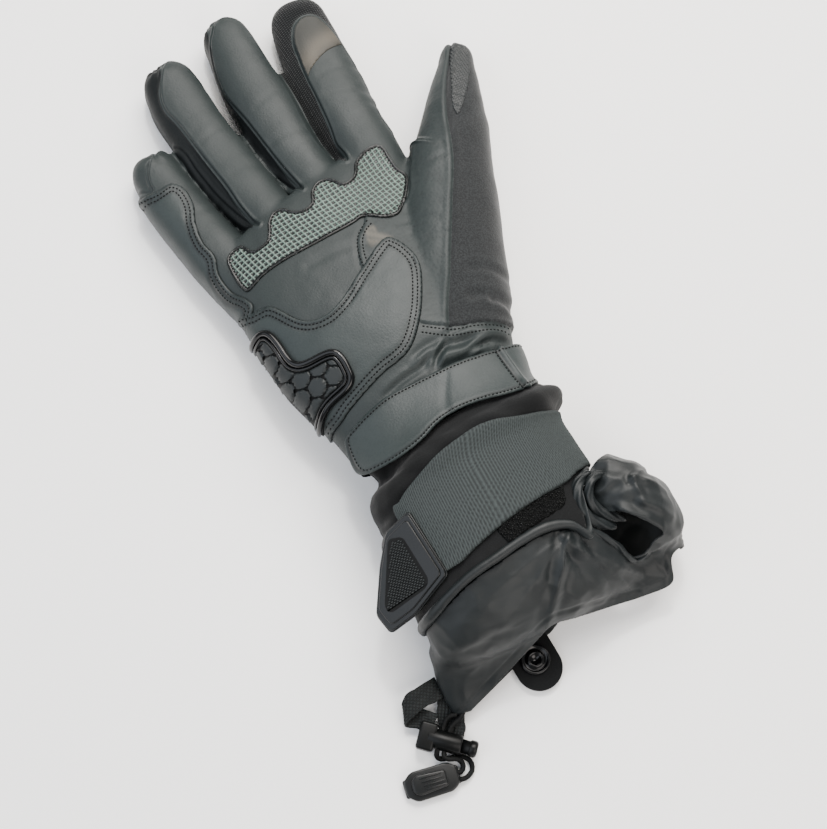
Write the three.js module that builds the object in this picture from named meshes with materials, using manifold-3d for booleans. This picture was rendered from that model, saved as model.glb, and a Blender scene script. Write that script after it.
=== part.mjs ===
// A winter riding glove for the right hand, lying on its back with the palm up.
// Leather hand and fingers, a soft padded cuff with two straps, and a thin nylon skirt with a drawcord.
// Millimetres. +Z is up from the table, +Y runs towards the fingertips and +X towards the thumb.
// The tables are measured from the middle of the wrist crease. The last lines move the whole glove
// so that the origin lies under the middle of its box.
import * as THREE from "three";
import { mergeVertices } from "three/addons/utils/BufferGeometryUtils.js";
import Module from "manifold-3d";

const wasm = await Module();
wasm.setup();

// Driving dimensions.
const GAP = 0.3; // between pieces that touch
const LEATHER_WALL = 3; // leather, wadding and lining together
const CUFF_WALL = 3.5; // softshell over foam
const SKIRT_WALL = 1; // nylon with its lining
const OVERLAY = 1.2; // a leather patch sewn on top
const TIP_PATCH = 0.8; // the thinner patches at the tips of index finger and thumb
const STRAP = 1.8; // thickness of either strap
const SQUARENESS = 2.4; // 2 is an ellipse, more is squarer
const FINGER_DOME = 12; // how far a rounded fingertip reaches past its last section
const THUMB_DOME = 11;
const SIDE_PANEL_FLOOR = 5; // the strip along a finger's side starts at this height
const WRIST_JOIN = -15; // the hand ends and the cuff begins here
const BINDING = 4; // width of the rolled edge round the cuff's end
const CORD = 2.2; // diameter of the elastic drawcord
const BINDING_PROUD = 0.8; // how far the rolled edge stands out from the cuff
const OVER_ALL = 90; // higher than any of the glove
const SLIVER = 0.03; // details thinner than this are smoothed out of a cut piece
const BOX_CENTRE = { x: 22.1, y: 40.4 }; // middle of the glove's box, seen from the wrist crease

// Tubes: a row for each section, from the wrist outwards. wide and high are outside sizes.
const HAND = [
  { x: 9, y: -19, z: 19, wide: 83, high: 40.5 },
  { x: 9.5, y: 6, z: 19.5, wide: 92, high: 42 },
  { x: 10, y: 30, z: 20, wide: 103, high: 44 },
  { x: 8, y: 55, z: 19, wide: 104, high: 42 },
  { x: 6.5, y: 80, z: 17, wide: 104, high: 38 },
  { x: 3.5, y: 98, z: 15, wide: 105, high: 33 },
  { x: 1.5, y: 109, z: 13.5, wide: 104, high: 28 },
];
const FINGERS = {
  finger_little: [
    { x: -31, y: 78, z: 13.5, wide: 28, high: 29 },
    { x: -37, y: 104, z: 12.5, wide: 27.5, high: 27 },
    { x: -40.8, y: 125, z: 11.5, wide: 25.5, high: 25.5 },
    { x: -43.8, y: 146, z: 11.2, wide: 24.5, high: 24.5 },
    { x: -44.6, y: 158, z: 11, wide: 23.5, high: 24 },
  ],
  finger_ring: [
    { x: -6, y: 84, z: 14, wide: 30, high: 31 },
    { x: -10, y: 114, z: 12.5, wide: 26.5, high: 28 },
    { x: -14.4, y: 140, z: 12, wide: 29.2, high: 27 },
    { x: -17.6, y: 165, z: 11.5, wide: 29.2, high: 26 },
    { x: -18.3, y: 184, z: 11.3, wide: 29, high: 25.5 },
    { x: -18, y: 195, z: 11.2, wide: 27, high: 25 },
  ],
  finger_middle: [
    { x: 18, y: 86, z: 14, wide: 28, high: 31 },
    { x: 17, y: 117, z: 12.5, wide: 25.5, high: 28 },
    { x: 15, y: 142, z: 12, wide: 29, high: 27 },
    { x: 15, y: 168, z: 11.5, wide: 30, high: 26.5 },
    { x: 15.8, y: 188, z: 11.3, wide: 27.5, high: 26 },
    { x: 17, y: 203, z: 11.2, wide: 25, high: 25 },
  ],
  finger_index: [
    { x: 43, y: 86, z: 14, wide: 29, high: 31 },
    { x: 45.5, y: 120, z: 12.5, wide: 29, high: 28.5 },
    { x: 46, y: 142, z: 12, wide: 31, high: 28 },
    { x: 47.5, y: 167, z: 11.8, wide: 33, high: 27 },
    { x: 49.5, y: 184, z: 11.5, wide: 31.5, high: 26.5 },
    { x: 51, y: 194, z: 11.3, wide: 29, high: 26 },
  ],
};
const THUMB = [
  { x: 27, y: 5, z: 20, wide: 46, high: 38 },
  { x: 38, y: 26, z: 20, wide: 52, high: 42 },
  { x: 56, y: 60, z: 20, wide: 48, high: 40 },
  { x: 71, y: 86, z: 19.5, wide: 41, high: 37 },
  { x: 85, y: 107, z: 18, wide: 34, high: 33 },
  { x: 94, y: 121, z: 16.5, wide: 28, high: 29 },
  { x: 104, y: 137, z: 14.5, wide: 19, high: 22 },
];
const CUFF = [
  { x: 9, y: -11, z: 19.5, wide: 80, high: 38 },
  { x: 10.3, y: -21, z: 23, wide: 90, high: 48 },
  { x: 10.3, y: -28, z: 25, wide: 95, high: 54 },
  { x: 6.5, y: -38, z: 24, wide: 90, high: 52 },
  { x: 5.5, y: -50, z: 24.5, wide: 91, high: 52.5 },
  { x: 5, y: -66, z: 25, wide: 93, high: 54 },
  { x: 3, y: -84, z: 25, wide: 95, high: 54 },
  { x: 2.5, y: -98, z: 25, wide: 96, high: 54 },
];
const SKIRT = [
  { x: 4.5, y: -58, z: 25, wide: 92, high: 53 },
  { x: 3.5, y: -84, z: 24, wide: 94, high: 50 },
  { x: 4, y: -97, z: 19.5, wide: 100, high: 41 },
  { x: 3.5, y: -109, z: 11, wide: 105, high: 24 },
  { x: 2, y: -127, z: 4.6, wide: 104, high: 9.2 },
];
// The part of the skirt that has slumped sideways, beside the end of the cuff.
const SLUMP = [
  { x: 46, y: -61, z: 21, wide: 18, high: 34 },
  { x: 55, y: -75, z: 23, wide: 30, high: 44 },
  { x: 59.5, y: -90, z: 22, wide: 37, high: 44 },
  { x: 58, y: -105, z: 12, wide: 33, high: 26 },
  { x: 49, y: -130, z: 4.5, wide: 22, high: 9 },
];
// The surface under the leather wrist strap: the wrist and the start of the collar.
const WRIST_BAND = [
  { x: 9.4, y: 7, z: 20, wide: 95, high: 45 },
  { x: 9.5, y: -6, z: 21, wide: 91, high: 46 },
  { x: 10, y: -17, z: 22.5, wide: 91, high: 50 },
  { x: 10.4, y: -27, z: 25.5, wide: 97, high: 57 },
];
// Folds in a tube's upper side. Each grows from nothing to its full height along a line.
const CUFF_FOLDS = [{ from: [40, -62], to: [34, -90], high: -17, wide: 6 }];
const SKIRT_FOLDS = [
  { from: [40, -62], to: [34, -90], high: -17, wide: 6 },
  { from: [0, -117], to: [23, -86], high: 4, wide: 6 },
  { from: [-20, -119], to: [3, -86], high: 3, wide: 6 },
  { from: [-41, -119], to: [-22, -88], high: 3, wide: 7 },
];

// Outlines seen from above, in order round the edge, and seam lines.
const KNUCKLE_STRIP = [
  [-37, 80], [-40, 97], [-31, 101], [-27, 96], [-17, 97], [-13, 104], [-6, 107], [0, 101],
  [7, 103], [11, 108], [19, 110], [24, 104], [31, 105], [36, 112], [48, 113], [50, 105],
  [53, 92], [46, 83], [36, 79], [26, 85], [12, 86], [-2, 85], [-20, 83],
];
const LITTLE_OVERLAY = [
  [-62, 152], [-49, 145], [-42, 146], [-37, 141], [-37, 131], [-41, 122], [-42, 112],
  [-40, 104], [-43, 96], [-41, 85], [-37, 77], [-38, 73], [-56, 75], [-62, 100],
];
const PALM_OVERLAY = [
  [-39, 71], [-31, 68], [-23, 54], [-14, 50.5], [-4, 53], [10, 61], [26, 69.5], [33, 62],
  [35, 54], [31, 43], [22, 29], [10, 18], [-6, 14.5], [-24, 9], [-33, 6], [-52, 8], [-54, 60],
];
const SLIDER_EDGE = [
  [-50, 58], [-42, 61.5], [-37, 61], [-34, 52], [-31, 43], [-24, 40.5], [-17, 39.5], [-13.5, 34],
  [-13, 27], [-18, 21], [-26, 17], [-34, 12.5], [-40, 10], [-50, 11],
];
const SLIDER_INSIDE = [
  [-45.5, 55], [-42.5, 58], [-39, 57.5], [-36.5, 50.5], [-33, 40.5], [-25, 37.5], [-19, 36.8], [-16.4, 32.5],
  [-16, 28], [-20, 23.5], [-27, 20], [-35, 15.5], [-40, 13.5], [-45.5, 16],
];
// Hexagon size across the flats with its groove, and each row of hexagons: its y, then the x of each one.
const SLIDER = { tile: 8.2, groove: 1.3, base: 1, high: 2.6 };
const SLIDER_TILES = [
  [53, -39.8],
  [45.9, -36.7],
  [38.8, -39.8, -31.6, -23.4],
  [31.7, -35.7, -27.5, -19.3],
  [24.6, -39.8, -31.6, -23.4],
  [17.8, -35.7],
];
const TOUCH_PATCH = [
  [57, 189], [51, 190.5], [45.5, 186.5], [42, 178], [39.8, 169], [42, 165], [50, 168.5],
  [60, 171], [61.5, 180],
];
const THUMB_TIP_PATCH = [[103.5, 139], [109, 137], [106, 129], [98, 117], [89, 108], [85.5, 109], [94, 124]];
const HOOK_PATCH = [[-4, -76], [-2, -66], [31, -66], [33, -75], [14, -78]];
const WRIST_STRAP = [
  [-31, -1], [-20, 1.5], [-4, 3], [14, 3.4], [31, 3], [44, 2], [70, -2], [70, -18],
  [55, -19.5], [47, -22], [36, -19], [22, -17], [6, -16], [-8, -18], [-19, -23], [-30, -24.5], [-38, -22.5],
];
const ELASTIC_STRAP = [
  [-25, -38], [-20, -35], [-4, -30], [11, -28.3], [23, -29], [38, -33], [70, -39], [70, -60],
  [48, -64], [36, -67], [20, -67.5], [4, -69.5], [-12, -73], [-25, -76.5],
];
const PULL_TAB = [[-26, -43.5], [-40, -46], [-58, -73], [-56, -83], [-44, -82], [-26, -76]];
const TAB = { x: -38, y: -64, z: 41.8, lean: 0.55, thick: 3, deep: 1.2, inset: 0.68, panel: 0.6 };
const HEM = [
  [-90, -117], [-52, -120], [-43, -121.5], [-17, -117], [3, -113.5], [14, -115],
  [31, -118], [47, -121], [60, -122], [66, -112], [90, -112],
];
const CUFF_END = [
  [-70, -92], [-43, -88], [-21, -83], [-4, -81.5], [12, -80.5], [22, -81.5], [29, -85],
  [34, -91], [38, -82], [42, -72], [48, -66.5], [56, -63], [75, -60],
];
const SKIRT_MOUTH = [
  [38, -84], [43, -79], [46, -89], [56, -100], [66, -109], [58, -113], [47, -110], [39, -103], [34, -94],
];
const WRIST_LINE = [[-150, WRIST_JOIN], [150, WRIST_JOIN]];
const KNUCKLE_LINE = [[-80, 100.6], [-18, 111], [6, 115], [30, 119], [65, 125]];
const THUMB_ROOT = [
  [74, 160], [66, 126], [62.5, 112], [59.7, 103], [54, 96], [40, 90], [25, 83], [15, 75],
  [11, 62], [13, 42], [20, 26], [33, 18], [42, 15], [56, 9], [85, 0],
];
const THUMB_SEAM = [
  [114, 158], [102, 140], [92, 126], [84, 112], [74, 89], [63, 71], [53, 55], [43, 39], [35, 27], [29.5, 16],
];
const FINGER_SEAMS = {
  ring: {
    line: [[-17, 104], [-19, 120], [-20, 133], [-24, 169], [-26, 181], [-22, 194], [-26, 206]],
    far: -50,
  },
  middle: {
    line: [[10, 108], [7, 122], [5, 144], [2, 175], [4, 190], [9, 203], [6, 216]],
    far: -14,
  },
  index: {
    line: [[35, 110], [34.5, 126], [37, 148], [38.5, 163], [41, 180], [45, 193], [52, 199], [60, 208]],
    far: 12,
  },
};

// A leather tab under the hem, with a moulded button on it. The button's profile is radius and height.
const BUTTON_TAB = { x: -7, y: -123.5, radius: 10.3, back: -106, low: 1.4, thick: 2.2 };
const BUTTON = { x: -7, y: -120, low: 3.9 };
const BUTTON_PROFILE = [
  [0, 0], [6.6, 0], [6.6, 1.2], [5.6, 1.8], [5, 1.2], [4, 1.2], [3.6, 2.2], [2.6, 2.2], [2.2, 1.4], [0, 1.4],
];
// The drawcord's hardware. along is the direction in which each one points, in degrees from +X.
const LOCK = {
  x: -66.5, y: -122.2, z: 4.6, along: -45, radius: 4.3, length: 19, block: 7.6, wide: 12, high: 8, hole: 1.6,
};
const LOCK_HOLES = [9.6, 12.6]; // where the two cords cross the barrel, from its closed end
const LOCK_BUTTON = { bore: 3.3, start: 14.6, stem: 3, inner: 18, collar: 22.5, head: 3.6, end: 26 };
const END_PULL = {
  x: -62, y: -144.4, along: 166.8, long: 21, wide: 12.6, high: 4.2, panel: { long: 15, wide: 9.4, high: 2 },
};
const CORD_ROUTES = {
  drawcord_outer: [
    [-48.2, -123.4, 5], [-51, -122.5, 5.2], [-53.6, -123.2, 4.8], [-55.6, -124.9, 4.6], [-59.7, -129, 4.6],
    [-63, -132.3, 4.6], [-64.3, -134.1, 3.4], [-63.3, -135.8, 1.8], [-60.6, -137, 1.2], [-57.4, -138.4, 1.2],
    [-54.4, -140, 1.2], [-52.8, -143, 1.2], [-54, -146.4, 1.4], [-57.4, -147.9, 2], [-60.6, -147.4, 2.4],
  ],
  drawcord_inner: [
    [-45, -123.6, 5], [-47.6, -125.4, 5], [-50.6, -126, 4.8], [-53.4, -127, 4.6], [-57.6, -131.1, 4.6],
    [-60.8, -134.3, 4.6], [-61.6, -136.1, 4.9], [-60.4, -137.8, 5], [-57.9, -139, 4.2], [-56.3, -141.2, 2.8],
    [-56.8, -143.6, 2], [-58.6, -144.6, 2.1], [-60.6, -144.3, 2.2],
  ],
};
// The webbing loop's middle line. aim turns its width, in degrees from +X.
const WEBBING = { wide: 8.5, thick: 1.1 };
const WEBBING_ROWS = [
  { x: -50, y: -113.5, z: 6, aim: 80 },
  { x: -58, y: -112.6, z: 7.6, aim: 85 },
  { x: -64.5, y: -112.8, z: 8, aim: 80 },
  { x: -67.6, y: -113.8, z: 5.6, aim: 65 },
  { x: -65.6, y: -115.4, z: 3.4, aim: 45 },
  { x: -62, y: -118, z: 3.6, aim: 35 },
  { x: -59, y: -121, z: 4, aim: 30 },
];

const MATERIALS = {
  leather: { color: 0x474d4d, roughness: 0.55 },
  worn_leather: { color: 0x5d5f5a, roughness: 0.7 },
  gusset: { color: 0x26292a, roughness: 0.6 },
  softshell: { color: 0x37383a, roughness: 0.9 },
  embossed: { color: 0x5c6a67, roughness: 0.3 },
  elastic: { color: 0x2f3232, roughness: 0.85 },
  nylon: { color: 0x444a4c, roughness: 0.5 },
  hook: { color: 0x1c1d1e, roughness: 0.95 },
  rubber: { color: 0x1d2021, roughness: 0.35 },
  plastic: { color: 0x2a2d2e, roughness: 0.4 },
};
const finishes = Object.fromEntries(
  Object.entries(MATERIALS).map(([name, look]) => {
    return [name, new THREE.MeshStandardMaterial({ ...look, metalness: 0 })];
  }),
);
const glove = new THREE.Group();

// The faces of a solid.
function facesOf(body) {
  const { numProp, vertProperties, triVerts } = body.getMesh();
  const count = vertProperties.length / numProp;
  const at = new Float32Array(count * 3);
  for (let i = 0; i < count; i++) at.set(vertProperties.subarray(i * numProp, i * numProp + 3), i * 3);
  const geometry = new THREE.BufferGeometry();
  geometry.setAttribute("position", new THREE.BufferAttribute(at, 3));
  geometry.setIndex(new THREE.BufferAttribute(triVerts, 1));
  return geometry;
}

// Adds one named piece, without slivers and without crumbs that hang on by a point.
function add(name, body, finish) {
  const mesh = new THREE.Mesh(facesOf(largest(solid(facesOf(body.simplify(SLIVER))))), finishes[finish]);
  mesh.name = name;
  glove.add(mesh);
}

// A three.js geometry as a solid that can be joined and cut.
function solid(geometry) {
  const bare = geometry.index ? geometry.toNonIndexed() : geometry.clone();
  for (const name of Object.keys(bare.attributes)) if (name !== "position") bare.deleteAttribute(name);
  const merged = mergeVertices(bare, 1e-4);
  return new wasm.Manifold(
    new wasm.Mesh({
      numProp: 3,
      vertProperties: merged.attributes.position.array,
      triVerts: new Uint32Array(merged.index.array),
    }),
  );
}

function union(bodies) {
  return bodies.reduce((all, next) => all.add(next));
}

// The biggest of the loose bodies, without the crumbs that a cut leaves.
function largest(body) {
  return body.decompose().sort((a, b) => b.volume() - a.volume())[0];
}

// A skin over a list of rings with the same number of points, with a flat cap on either end.
function skin(rings) {
  const sides = rings[0].length;
  const points = rings.flat();
  const faces = [];
  for (let k = 0; k + 1 < rings.length; k++) {
    for (let i = 0; i < sides; i++) {
      const a = k * sides + i;
      const b = k * sides + ((i + 1) % sides);
      faces.push(a, a + sides, b + sides, a, b + sides, b);
    }
  }
  for (const ring of [0, rings.length - 1]) {
    const middle = new THREE.Vector3();
    rings[ring].forEach((p) => middle.addScaledVector(p, 1 / sides));
    points.push(middle);
    for (let i = 0; i < sides; i++) {
      const pair = [ring * sides + i, ring * sides + ((i + 1) % sides)];
      faces.push(points.length - 1, ...(ring ? pair.reverse() : pair));
    }
  }
  return new THREE.BufferGeometry().setFromPoints(points).setIndex(faces);
}

// More rows between the given ones, every column eased through with a cubic.
function ease(rows, steps) {
  const columns = Object.keys(rows[0]);
  const curve = new THREE.CubicInterpolant(
    rows.map((_, i) => i),
    rows.flatMap((row) => columns.map((name) => row[name])),
    columns.length,
  );
  return Array.from({ length: steps + 1 }, (_, i) => {
    const values = [...curve.evaluate((i / steps) * (rows.length - 1))];
    return Object.fromEntries(columns.map((name, n) => [name, values[n]]));
  });
}

// Where each section of a tube sits: its middle, its directions and its outside half sizes.
// Square sections all face along Y.
function sections(rows, { steps, grow, dome, square }) {
  const filled = ease(rows, steps);
  const middles = filled.map((row) => new THREE.Vector3(row.x, row.y, row.z));
  const found = filled.map((row, i) => {
    const along = middles[Math.min(i + 1, steps)].clone().sub(middles[Math.max(i - 1, 0)]);
    if (square) along.set(0, along.y, 0);
    along.normalize();
    const across = new THREE.Vector3(along.y, -along.x, 0).normalize();
    const up = new THREE.Vector3().crossVectors(across, along);
    return { middle: middles[i], along, across, up, half: row.wide / 2 + grow, rise: row.high / 2 + grow };
  });
  const end = found[steps];
  for (const angle of dome ? [0.6, 1.2] : []) {
    const share = Math.cos(angle) ** 0.75;
    const middle = end.middle.clone().addScaledVector(end.along, (dome + grow) * Math.sin(angle));
    found.push({ ...end, middle, half: end.half * share, rise: end.rise * share });
  }
  return found;
}

// How far the folds lift a point of the upper side.
function foldLift(folds, point) {
  return folds.reduce((sum, { from, to, high, wide }) => {
    const start = new THREE.Vector2(...from);
    const run = new THREE.Vector2(...to).sub(start);
    const offset = new THREE.Vector2(point.x, point.y).sub(start);
    const share = THREE.MathUtils.smoothstep(offset.dot(run) / run.lengthSq(), 0, 1);
    const aside = offset.cross(run) / run.length() / wide;
    return sum + high * share * Math.exp(-aside * aside);
  }, 0);
}

// The ring of points round one section.
function ringOf({ middle, across, up, half, rise }, sides, folds) {
  const bow = (value) => Math.sign(value) * Math.abs(value) ** (2 / SQUARENESS);
  return Array.from({ length: sides }, (_, i) => {
    const angle = (2 * Math.PI * i) / sides;
    const height = bow(Math.sin(angle));
    const point = middle.clone();
    point.addScaledVector(across, half * bow(Math.cos(angle))).addScaledVector(up, rise * height);
    point.z += foldLift(folds, point) * Math.max(height, 0);
    return point;
  });
}

function tube(rows, { sides, steps, grow = 0, dome = 0, square = false, folds = [] }) {
  const found = sections(rows, { steps, grow, dome, square });
  return solid(skin(found.map((section) => ringOf(section, sides, folds))));
}

// Everything between two levels.
function layer(low, high) {
  return solid(new THREE.BoxGeometry(600, 800, high - low).translate(0, 0, (low + high) / 2));
}

// Points round a circle.
function ringPoints(radius, sides) {
  return Array.from({ length: sides }, (_, i) => {
    const angle = (2 * Math.PI * i) / sides;
    return new THREE.Vector2(radius * Math.cos(angle), radius * Math.sin(angle));
  });
}

// An upright prism over an outline.
function prism(outline, low, high) {
  const shape = new THREE.Shape(outline.map(([x, y]) => new THREE.Vector2(x, y)));
  const raised = new THREE.ExtrudeGeometry(shape, { depth: high - low, bevelEnabled: false });
  return solid(raised.translate(0, 0, low));
}

// An upright sheet along a line, which parts two panels at their seam.
function seamSheet(line, thick, low = -5, high = OVER_ALL) {
  const side = line.map((p, i) => {
    const [x0, y0] = line[Math.max(i - 1, 0)];
    const [x1, y1] = line[Math.min(i + 1, line.length - 1)];
    return new THREE.Vector2(y1 - y0, x0 - x1).setLength(thick / 2);
  });
  const near = line.map(([x, y], i) => [x + side[i].x, y + side[i].y]);
  const far = line.map(([x, y], i) => [x - side[i].x, y - side[i].y]);
  return prism([...near, ...far.reverse()], low, high);
}

// The outside of hand, fingers and thumb, moved out by grow, above the table.
function handBody(grow) {
  const parts = [
    tube(HAND, { sides: 20, steps: 5, grow, square: true }),
    ...Object.values(FINGERS).map((rows) => tube(rows, { sides: 12, steps: 4, grow, dome: FINGER_DOME })),
    tube(THUMB, { sides: 12, steps: 5, grow, dome: THUMB_DOME }),
  ];
  return union(parts).intersect(layer(Math.max(0, -grow), OVER_ALL));
}

function cuffBody(grow) {
  const body = tube(CUFF, { sides: 22, steps: 7, grow, square: true, folds: CUFF_FOLDS });
  return body.intersect(layer(Math.max(0, -grow), OVER_ALL));
}

function skirtBody(grow) {
  const parts = [
    tube(SKIRT, { sides: 26, steps: 5, grow, square: true, folds: SKIRT_FOLDS }),
    tube(SLUMP, { sides: 10, steps: 5, grow }),
  ];
  return union(parts).intersect(layer(Math.max(0, -grow), OVER_ALL));
}

// A patch of the given thickness on a surface, under an outline. surface(grow) gives the body.
function patch(surface, outline, lift, thick, floor) {
  return largest(surface(lift + thick).subtract(surface(lift)).intersect(prism(outline, floor, OVER_ALL)));
}

// Everything on the finger side of a line that runs across the glove, moved towards the fingers by shift.
function aheadOf(line, shift) {
  const edge = line.map(([x, y]) => [x, y + shift]);
  return prism([...edge, [edge.at(-1)[0], 400], [edge[0][0], 400]], -5, OVER_ALL);
}

// Hand, fingers and thumb, cut apart along their seams.
function handPieces() {
  const cuts = [KNUCKLE_LINE, THUMB_ROOT, THUMB_SEAM].map((line) => seamSheet(line, GAP));
  const whole = handBody(0).intersect(aheadOf(WRIST_LINE, GAP / 2));
  const hollow = whole.subtract(handBody(-LEATHER_WALL)).subtract(union(cuts));
  const pieces = hollow.decompose().filter((piece) => piece.volume() > 500);
  const middleOf = (piece) => {
    const { min, max } = piece.boundingBox();
    return { x: (min[0] + max[0]) / 2, y: (min[1] + max[1]) / 2 };
  };
  pieces.sort((a, b) => b.volume() - a.volume());
  const shell = pieces.shift();
  pieces.sort((a, b) => middleOf(a).x - middleOf(b).x);
  return [shell, ...pieces];
}

// Splits a finger into its front with the back, and the strip along its left side.
function sidePanel(finger, { line, far }) {
  const region = [...line, [far, line.at(-1)[1]], [far, line[0][1]]];
  const front = finger.subtract(prism(region, SIDE_PANEL_FLOOR - GAP, OVER_ALL));
  const strip = finger.intersect(prism(region, SIDE_PANEL_FLOOR, OVER_ALL));
  return [largest(front), largest(strip.subtract(seamSheet(line, 2 * GAP)))];
}

const [handShell, little, ring, middle, index, thumbLeather, thumbFabric] = handPieces();
add("hand_shell", handShell, "leather");
add("finger_little", little, "leather");
for (const [name, finger] of Object.entries({ ring, middle, index })) {
  const [front, strip] = sidePanel(finger, FINGER_SEAMS[name]);
  add(`finger_${name}`, front, "leather");
  add(`side_panel_${name}`, strip, "gusset");
}
add("thumb_leather", thumbLeather, "leather");
add("thumb_fabric", thumbFabric, "softshell");

add("knuckle_strip", patch(handBody, KNUCKLE_STRIP, GAP, OVERLAY, 14), "embossed");
add("little_overlay", patch(handBody, LITTLE_OVERLAY, GAP, OVERLAY, 8), "leather");
add("palm_overlay", patch(handBody, PALM_OVERLAY, GAP, OVERLAY, 8), "leather");
add("touch_patch", patch(handBody, TOUCH_PATCH, GAP, TIP_PATCH, 10), "worn_leather");
add("thumb_tip_patch", patch(handBody, THUMB_TIP_PATCH, GAP, TIP_PATCH, 10), "rubber");

// The height of a body's top over a place seen from above.
function topOver(body, x, y) {
  const needle = [[x - 0.1, y - 0.1], [x + 0.1, y - 0.1], [x, y + 0.1]];
  return body.intersect(prism(needle, 0, OVER_ALL)).boundingBox().max[2];
}

// One raised hexagon. Its top leans with the surface under it.
function sliderTile(body, x, y) {
  const reach = (SLIDER.tile - SLIDER.groove) / Math.sqrt(3);
  const corners = ringPoints(reach, 6).map((p) => [x + p.y, y + p.x]);
  const geometry = new THREE.ExtrudeGeometry(new THREE.Shape(corners.map((p) => new THREE.Vector2(...p))), {
    depth: 1,
    bevelEnabled: false,
  });
  const top = topOver(body, x, y);
  const leanX = (topOver(body, x + reach / 2, y) - topOver(body, x - reach / 2, y)) / reach;
  const leanY = (topOver(body, x, y + reach / 2) - topOver(body, x, y - reach / 2)) / reach;
  const at = geometry.attributes.position;
  for (let i = 0; i < at.count; i++) {
    const plane = top + (at.getX(i) - x) * leanX + (at.getY(i) - y) * leanY;
    at.setZ(i, plane - (1 - at.getZ(i)) * SLIDER.high);
  }
  return solid(geometry);
}

// The palm slider: a thin base with a raised rim and raised hexagons, moulded as one.
const sliderLift = 2 * GAP + OVERLAY;
const sliderBase = patch(handBody, SLIDER_EDGE, sliderLift, SLIDER.base, 8);
const sliderBorder = patch(handBody, SLIDER_EDGE, sliderLift, SLIDER.high, 8);
const sliderRim = sliderBorder.subtract(prism(SLIDER_INSIDE, 0, OVER_ALL));
const sliderTop = handBody(sliderLift + SLIDER.high);
const tiles = SLIDER_TILES.flatMap(([y, ...places]) => places.map((x) => sliderTile(sliderTop, x, y)));
const tilesInside = union(tiles).subtract(handBody(sliderLift + SLIDER.base / 2));
add("palm_slider", largest(union([sliderBase, sliderRim, tilesInside])), "rubber");

// The cuff, open at both ends, its bound end and what is fastened round it.
const cuffHollow = cuffBody(0).subtract(cuffBody(-CUFF_WALL));
const cuffPlace = aheadOf(CUFF_END, BINDING + GAP).subtract(aheadOf(WRIST_LINE, -GAP / 2));
add("cuff", largest(cuffHollow.intersect(cuffPlace)), "softshell");
const bindingRing = cuffBody(BINDING_PROUD).subtract(cuffBody(-CUFF_WALL - GAP));
const bindingPlace = aheadOf(CUFF_END, 0).subtract(aheadOf(CUFF_END, BINDING));
add("cuff_binding", largest(bindingRing.intersect(bindingPlace)), "nylon");

const bandBody = (grow) => tube(WRIST_BAND, { sides: 24, steps: 3, grow, square: true });
const strapLayer = bandBody(STRAP).subtract(bandBody(0)).intersect(prism(WRIST_STRAP, 7, OVER_ALL));
add("wrist_strap", largest(strapLayer.subtract(handBody(GAP)).subtract(cuffBody(GAP))), "leather");
const clearOfBinding = aheadOf(CUFF_END, BINDING + 2 * GAP);
const elastic = patch(cuffBody, ELASTIC_STRAP, GAP, STRAP, 9);
add("elastic_strap", largest(elastic.intersect(clearOfBinding)), "elastic");
const hook = patch(cuffBody, HOOK_PATCH, GAP, 1, 20).intersect(clearOfBinding);
const strapShadow = prism(ELASTIC_STRAP.map(([x, y]) => [x, y - GAP]), 0, OVER_ALL);
add("hook_patch", largest(hook.subtract(strapShadow)), "hook");

// The moulded tab on the strap's end leans over the cuff's shoulder, with a textured panel set into it.
function leaning(thick, lift) {
  const plate = new THREE.BoxGeometry(120, 120, thick).translate(0, 0, thick / 2 + lift);
  return solid(plate.rotateY(-TAB.lean).translate(TAB.x, TAB.y, TAB.z));
}
function tabEdge(share) {
  return PULL_TAB.map(([x, y]) => [TAB.x + (x - TAB.x) * share, TAB.y + (y - TAB.y) * share]);
}
const recess = prism(tabEdge(TAB.inset), 0, OVER_ALL).intersect(leaning(10, TAB.thick - TAB.deep));
add("pull_tab", leaning(TAB.thick, 0).intersect(prism(PULL_TAB, 0, OVER_ALL)).subtract(recess), "plastic");
const panel = leaning(TAB.deep, TAB.thick - TAB.deep + GAP);
add("pull_tab_panel", panel.intersect(prism(tabEdge(TAB.panel), 0, OVER_ALL)), "rubber");

// The thin skirt that hangs out of the cuff's end, with its mouth and its hem.
const skirtHollow = skirtBody(0).subtract(skirtBody(-SKIRT_WALL));
const skirtPlace = aheadOf(HEM, 0).subtract(aheadOf(CUFF_END, -GAP));
const mouthCut = prism(SKIRT_MOUTH, 12, OVER_ALL);
const cuffPlug = cuffBody(GAP).intersect(aheadOf(CUFF_END, 0));
const skirt = skirtHollow.intersect(skirtPlace).subtract(mouthCut).subtract(cuffPlug);
add("skirt", largest(skirt), "nylon");

// The snap tab that sticks out of the mouth, and its ringed button.
const tabShape = new THREE.Shape();
tabShape.moveTo(BUTTON_TAB.x + BUTTON_TAB.radius, BUTTON_TAB.back);
tabShape.lineTo(BUTTON_TAB.x - BUTTON_TAB.radius, BUTTON_TAB.back);
tabShape.absarc(BUTTON_TAB.x, BUTTON_TAB.y, BUTTON_TAB.radius, Math.PI, 2 * Math.PI, false);
const tabPlate = new THREE.ExtrudeGeometry(tabShape, {
  depth: BUTTON_TAB.thick,
  bevelEnabled: false,
  curveSegments: 8,
});
add("button_tab", solid(tabPlate.translate(0, 0, BUTTON_TAB.low)), "leather");
const buttonTurn = new THREE.LatheGeometry(BUTTON_PROFILE.map(([r, h]) => new THREE.Vector2(r, h)), 12);
add("button", solid(buttonTurn.rotateX(Math.PI / 2).translate(BUTTON.x, BUTTON.y, BUTTON.low)), "plastic");

// Moves a shape that was made along +X to where one of the cord's pieces lies.
function lay(geometry, { x, y, z = 0, along }) {
  return solid(geometry.rotateZ(THREE.MathUtils.degToRad(along)).translate(x, y, z));
}

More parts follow.
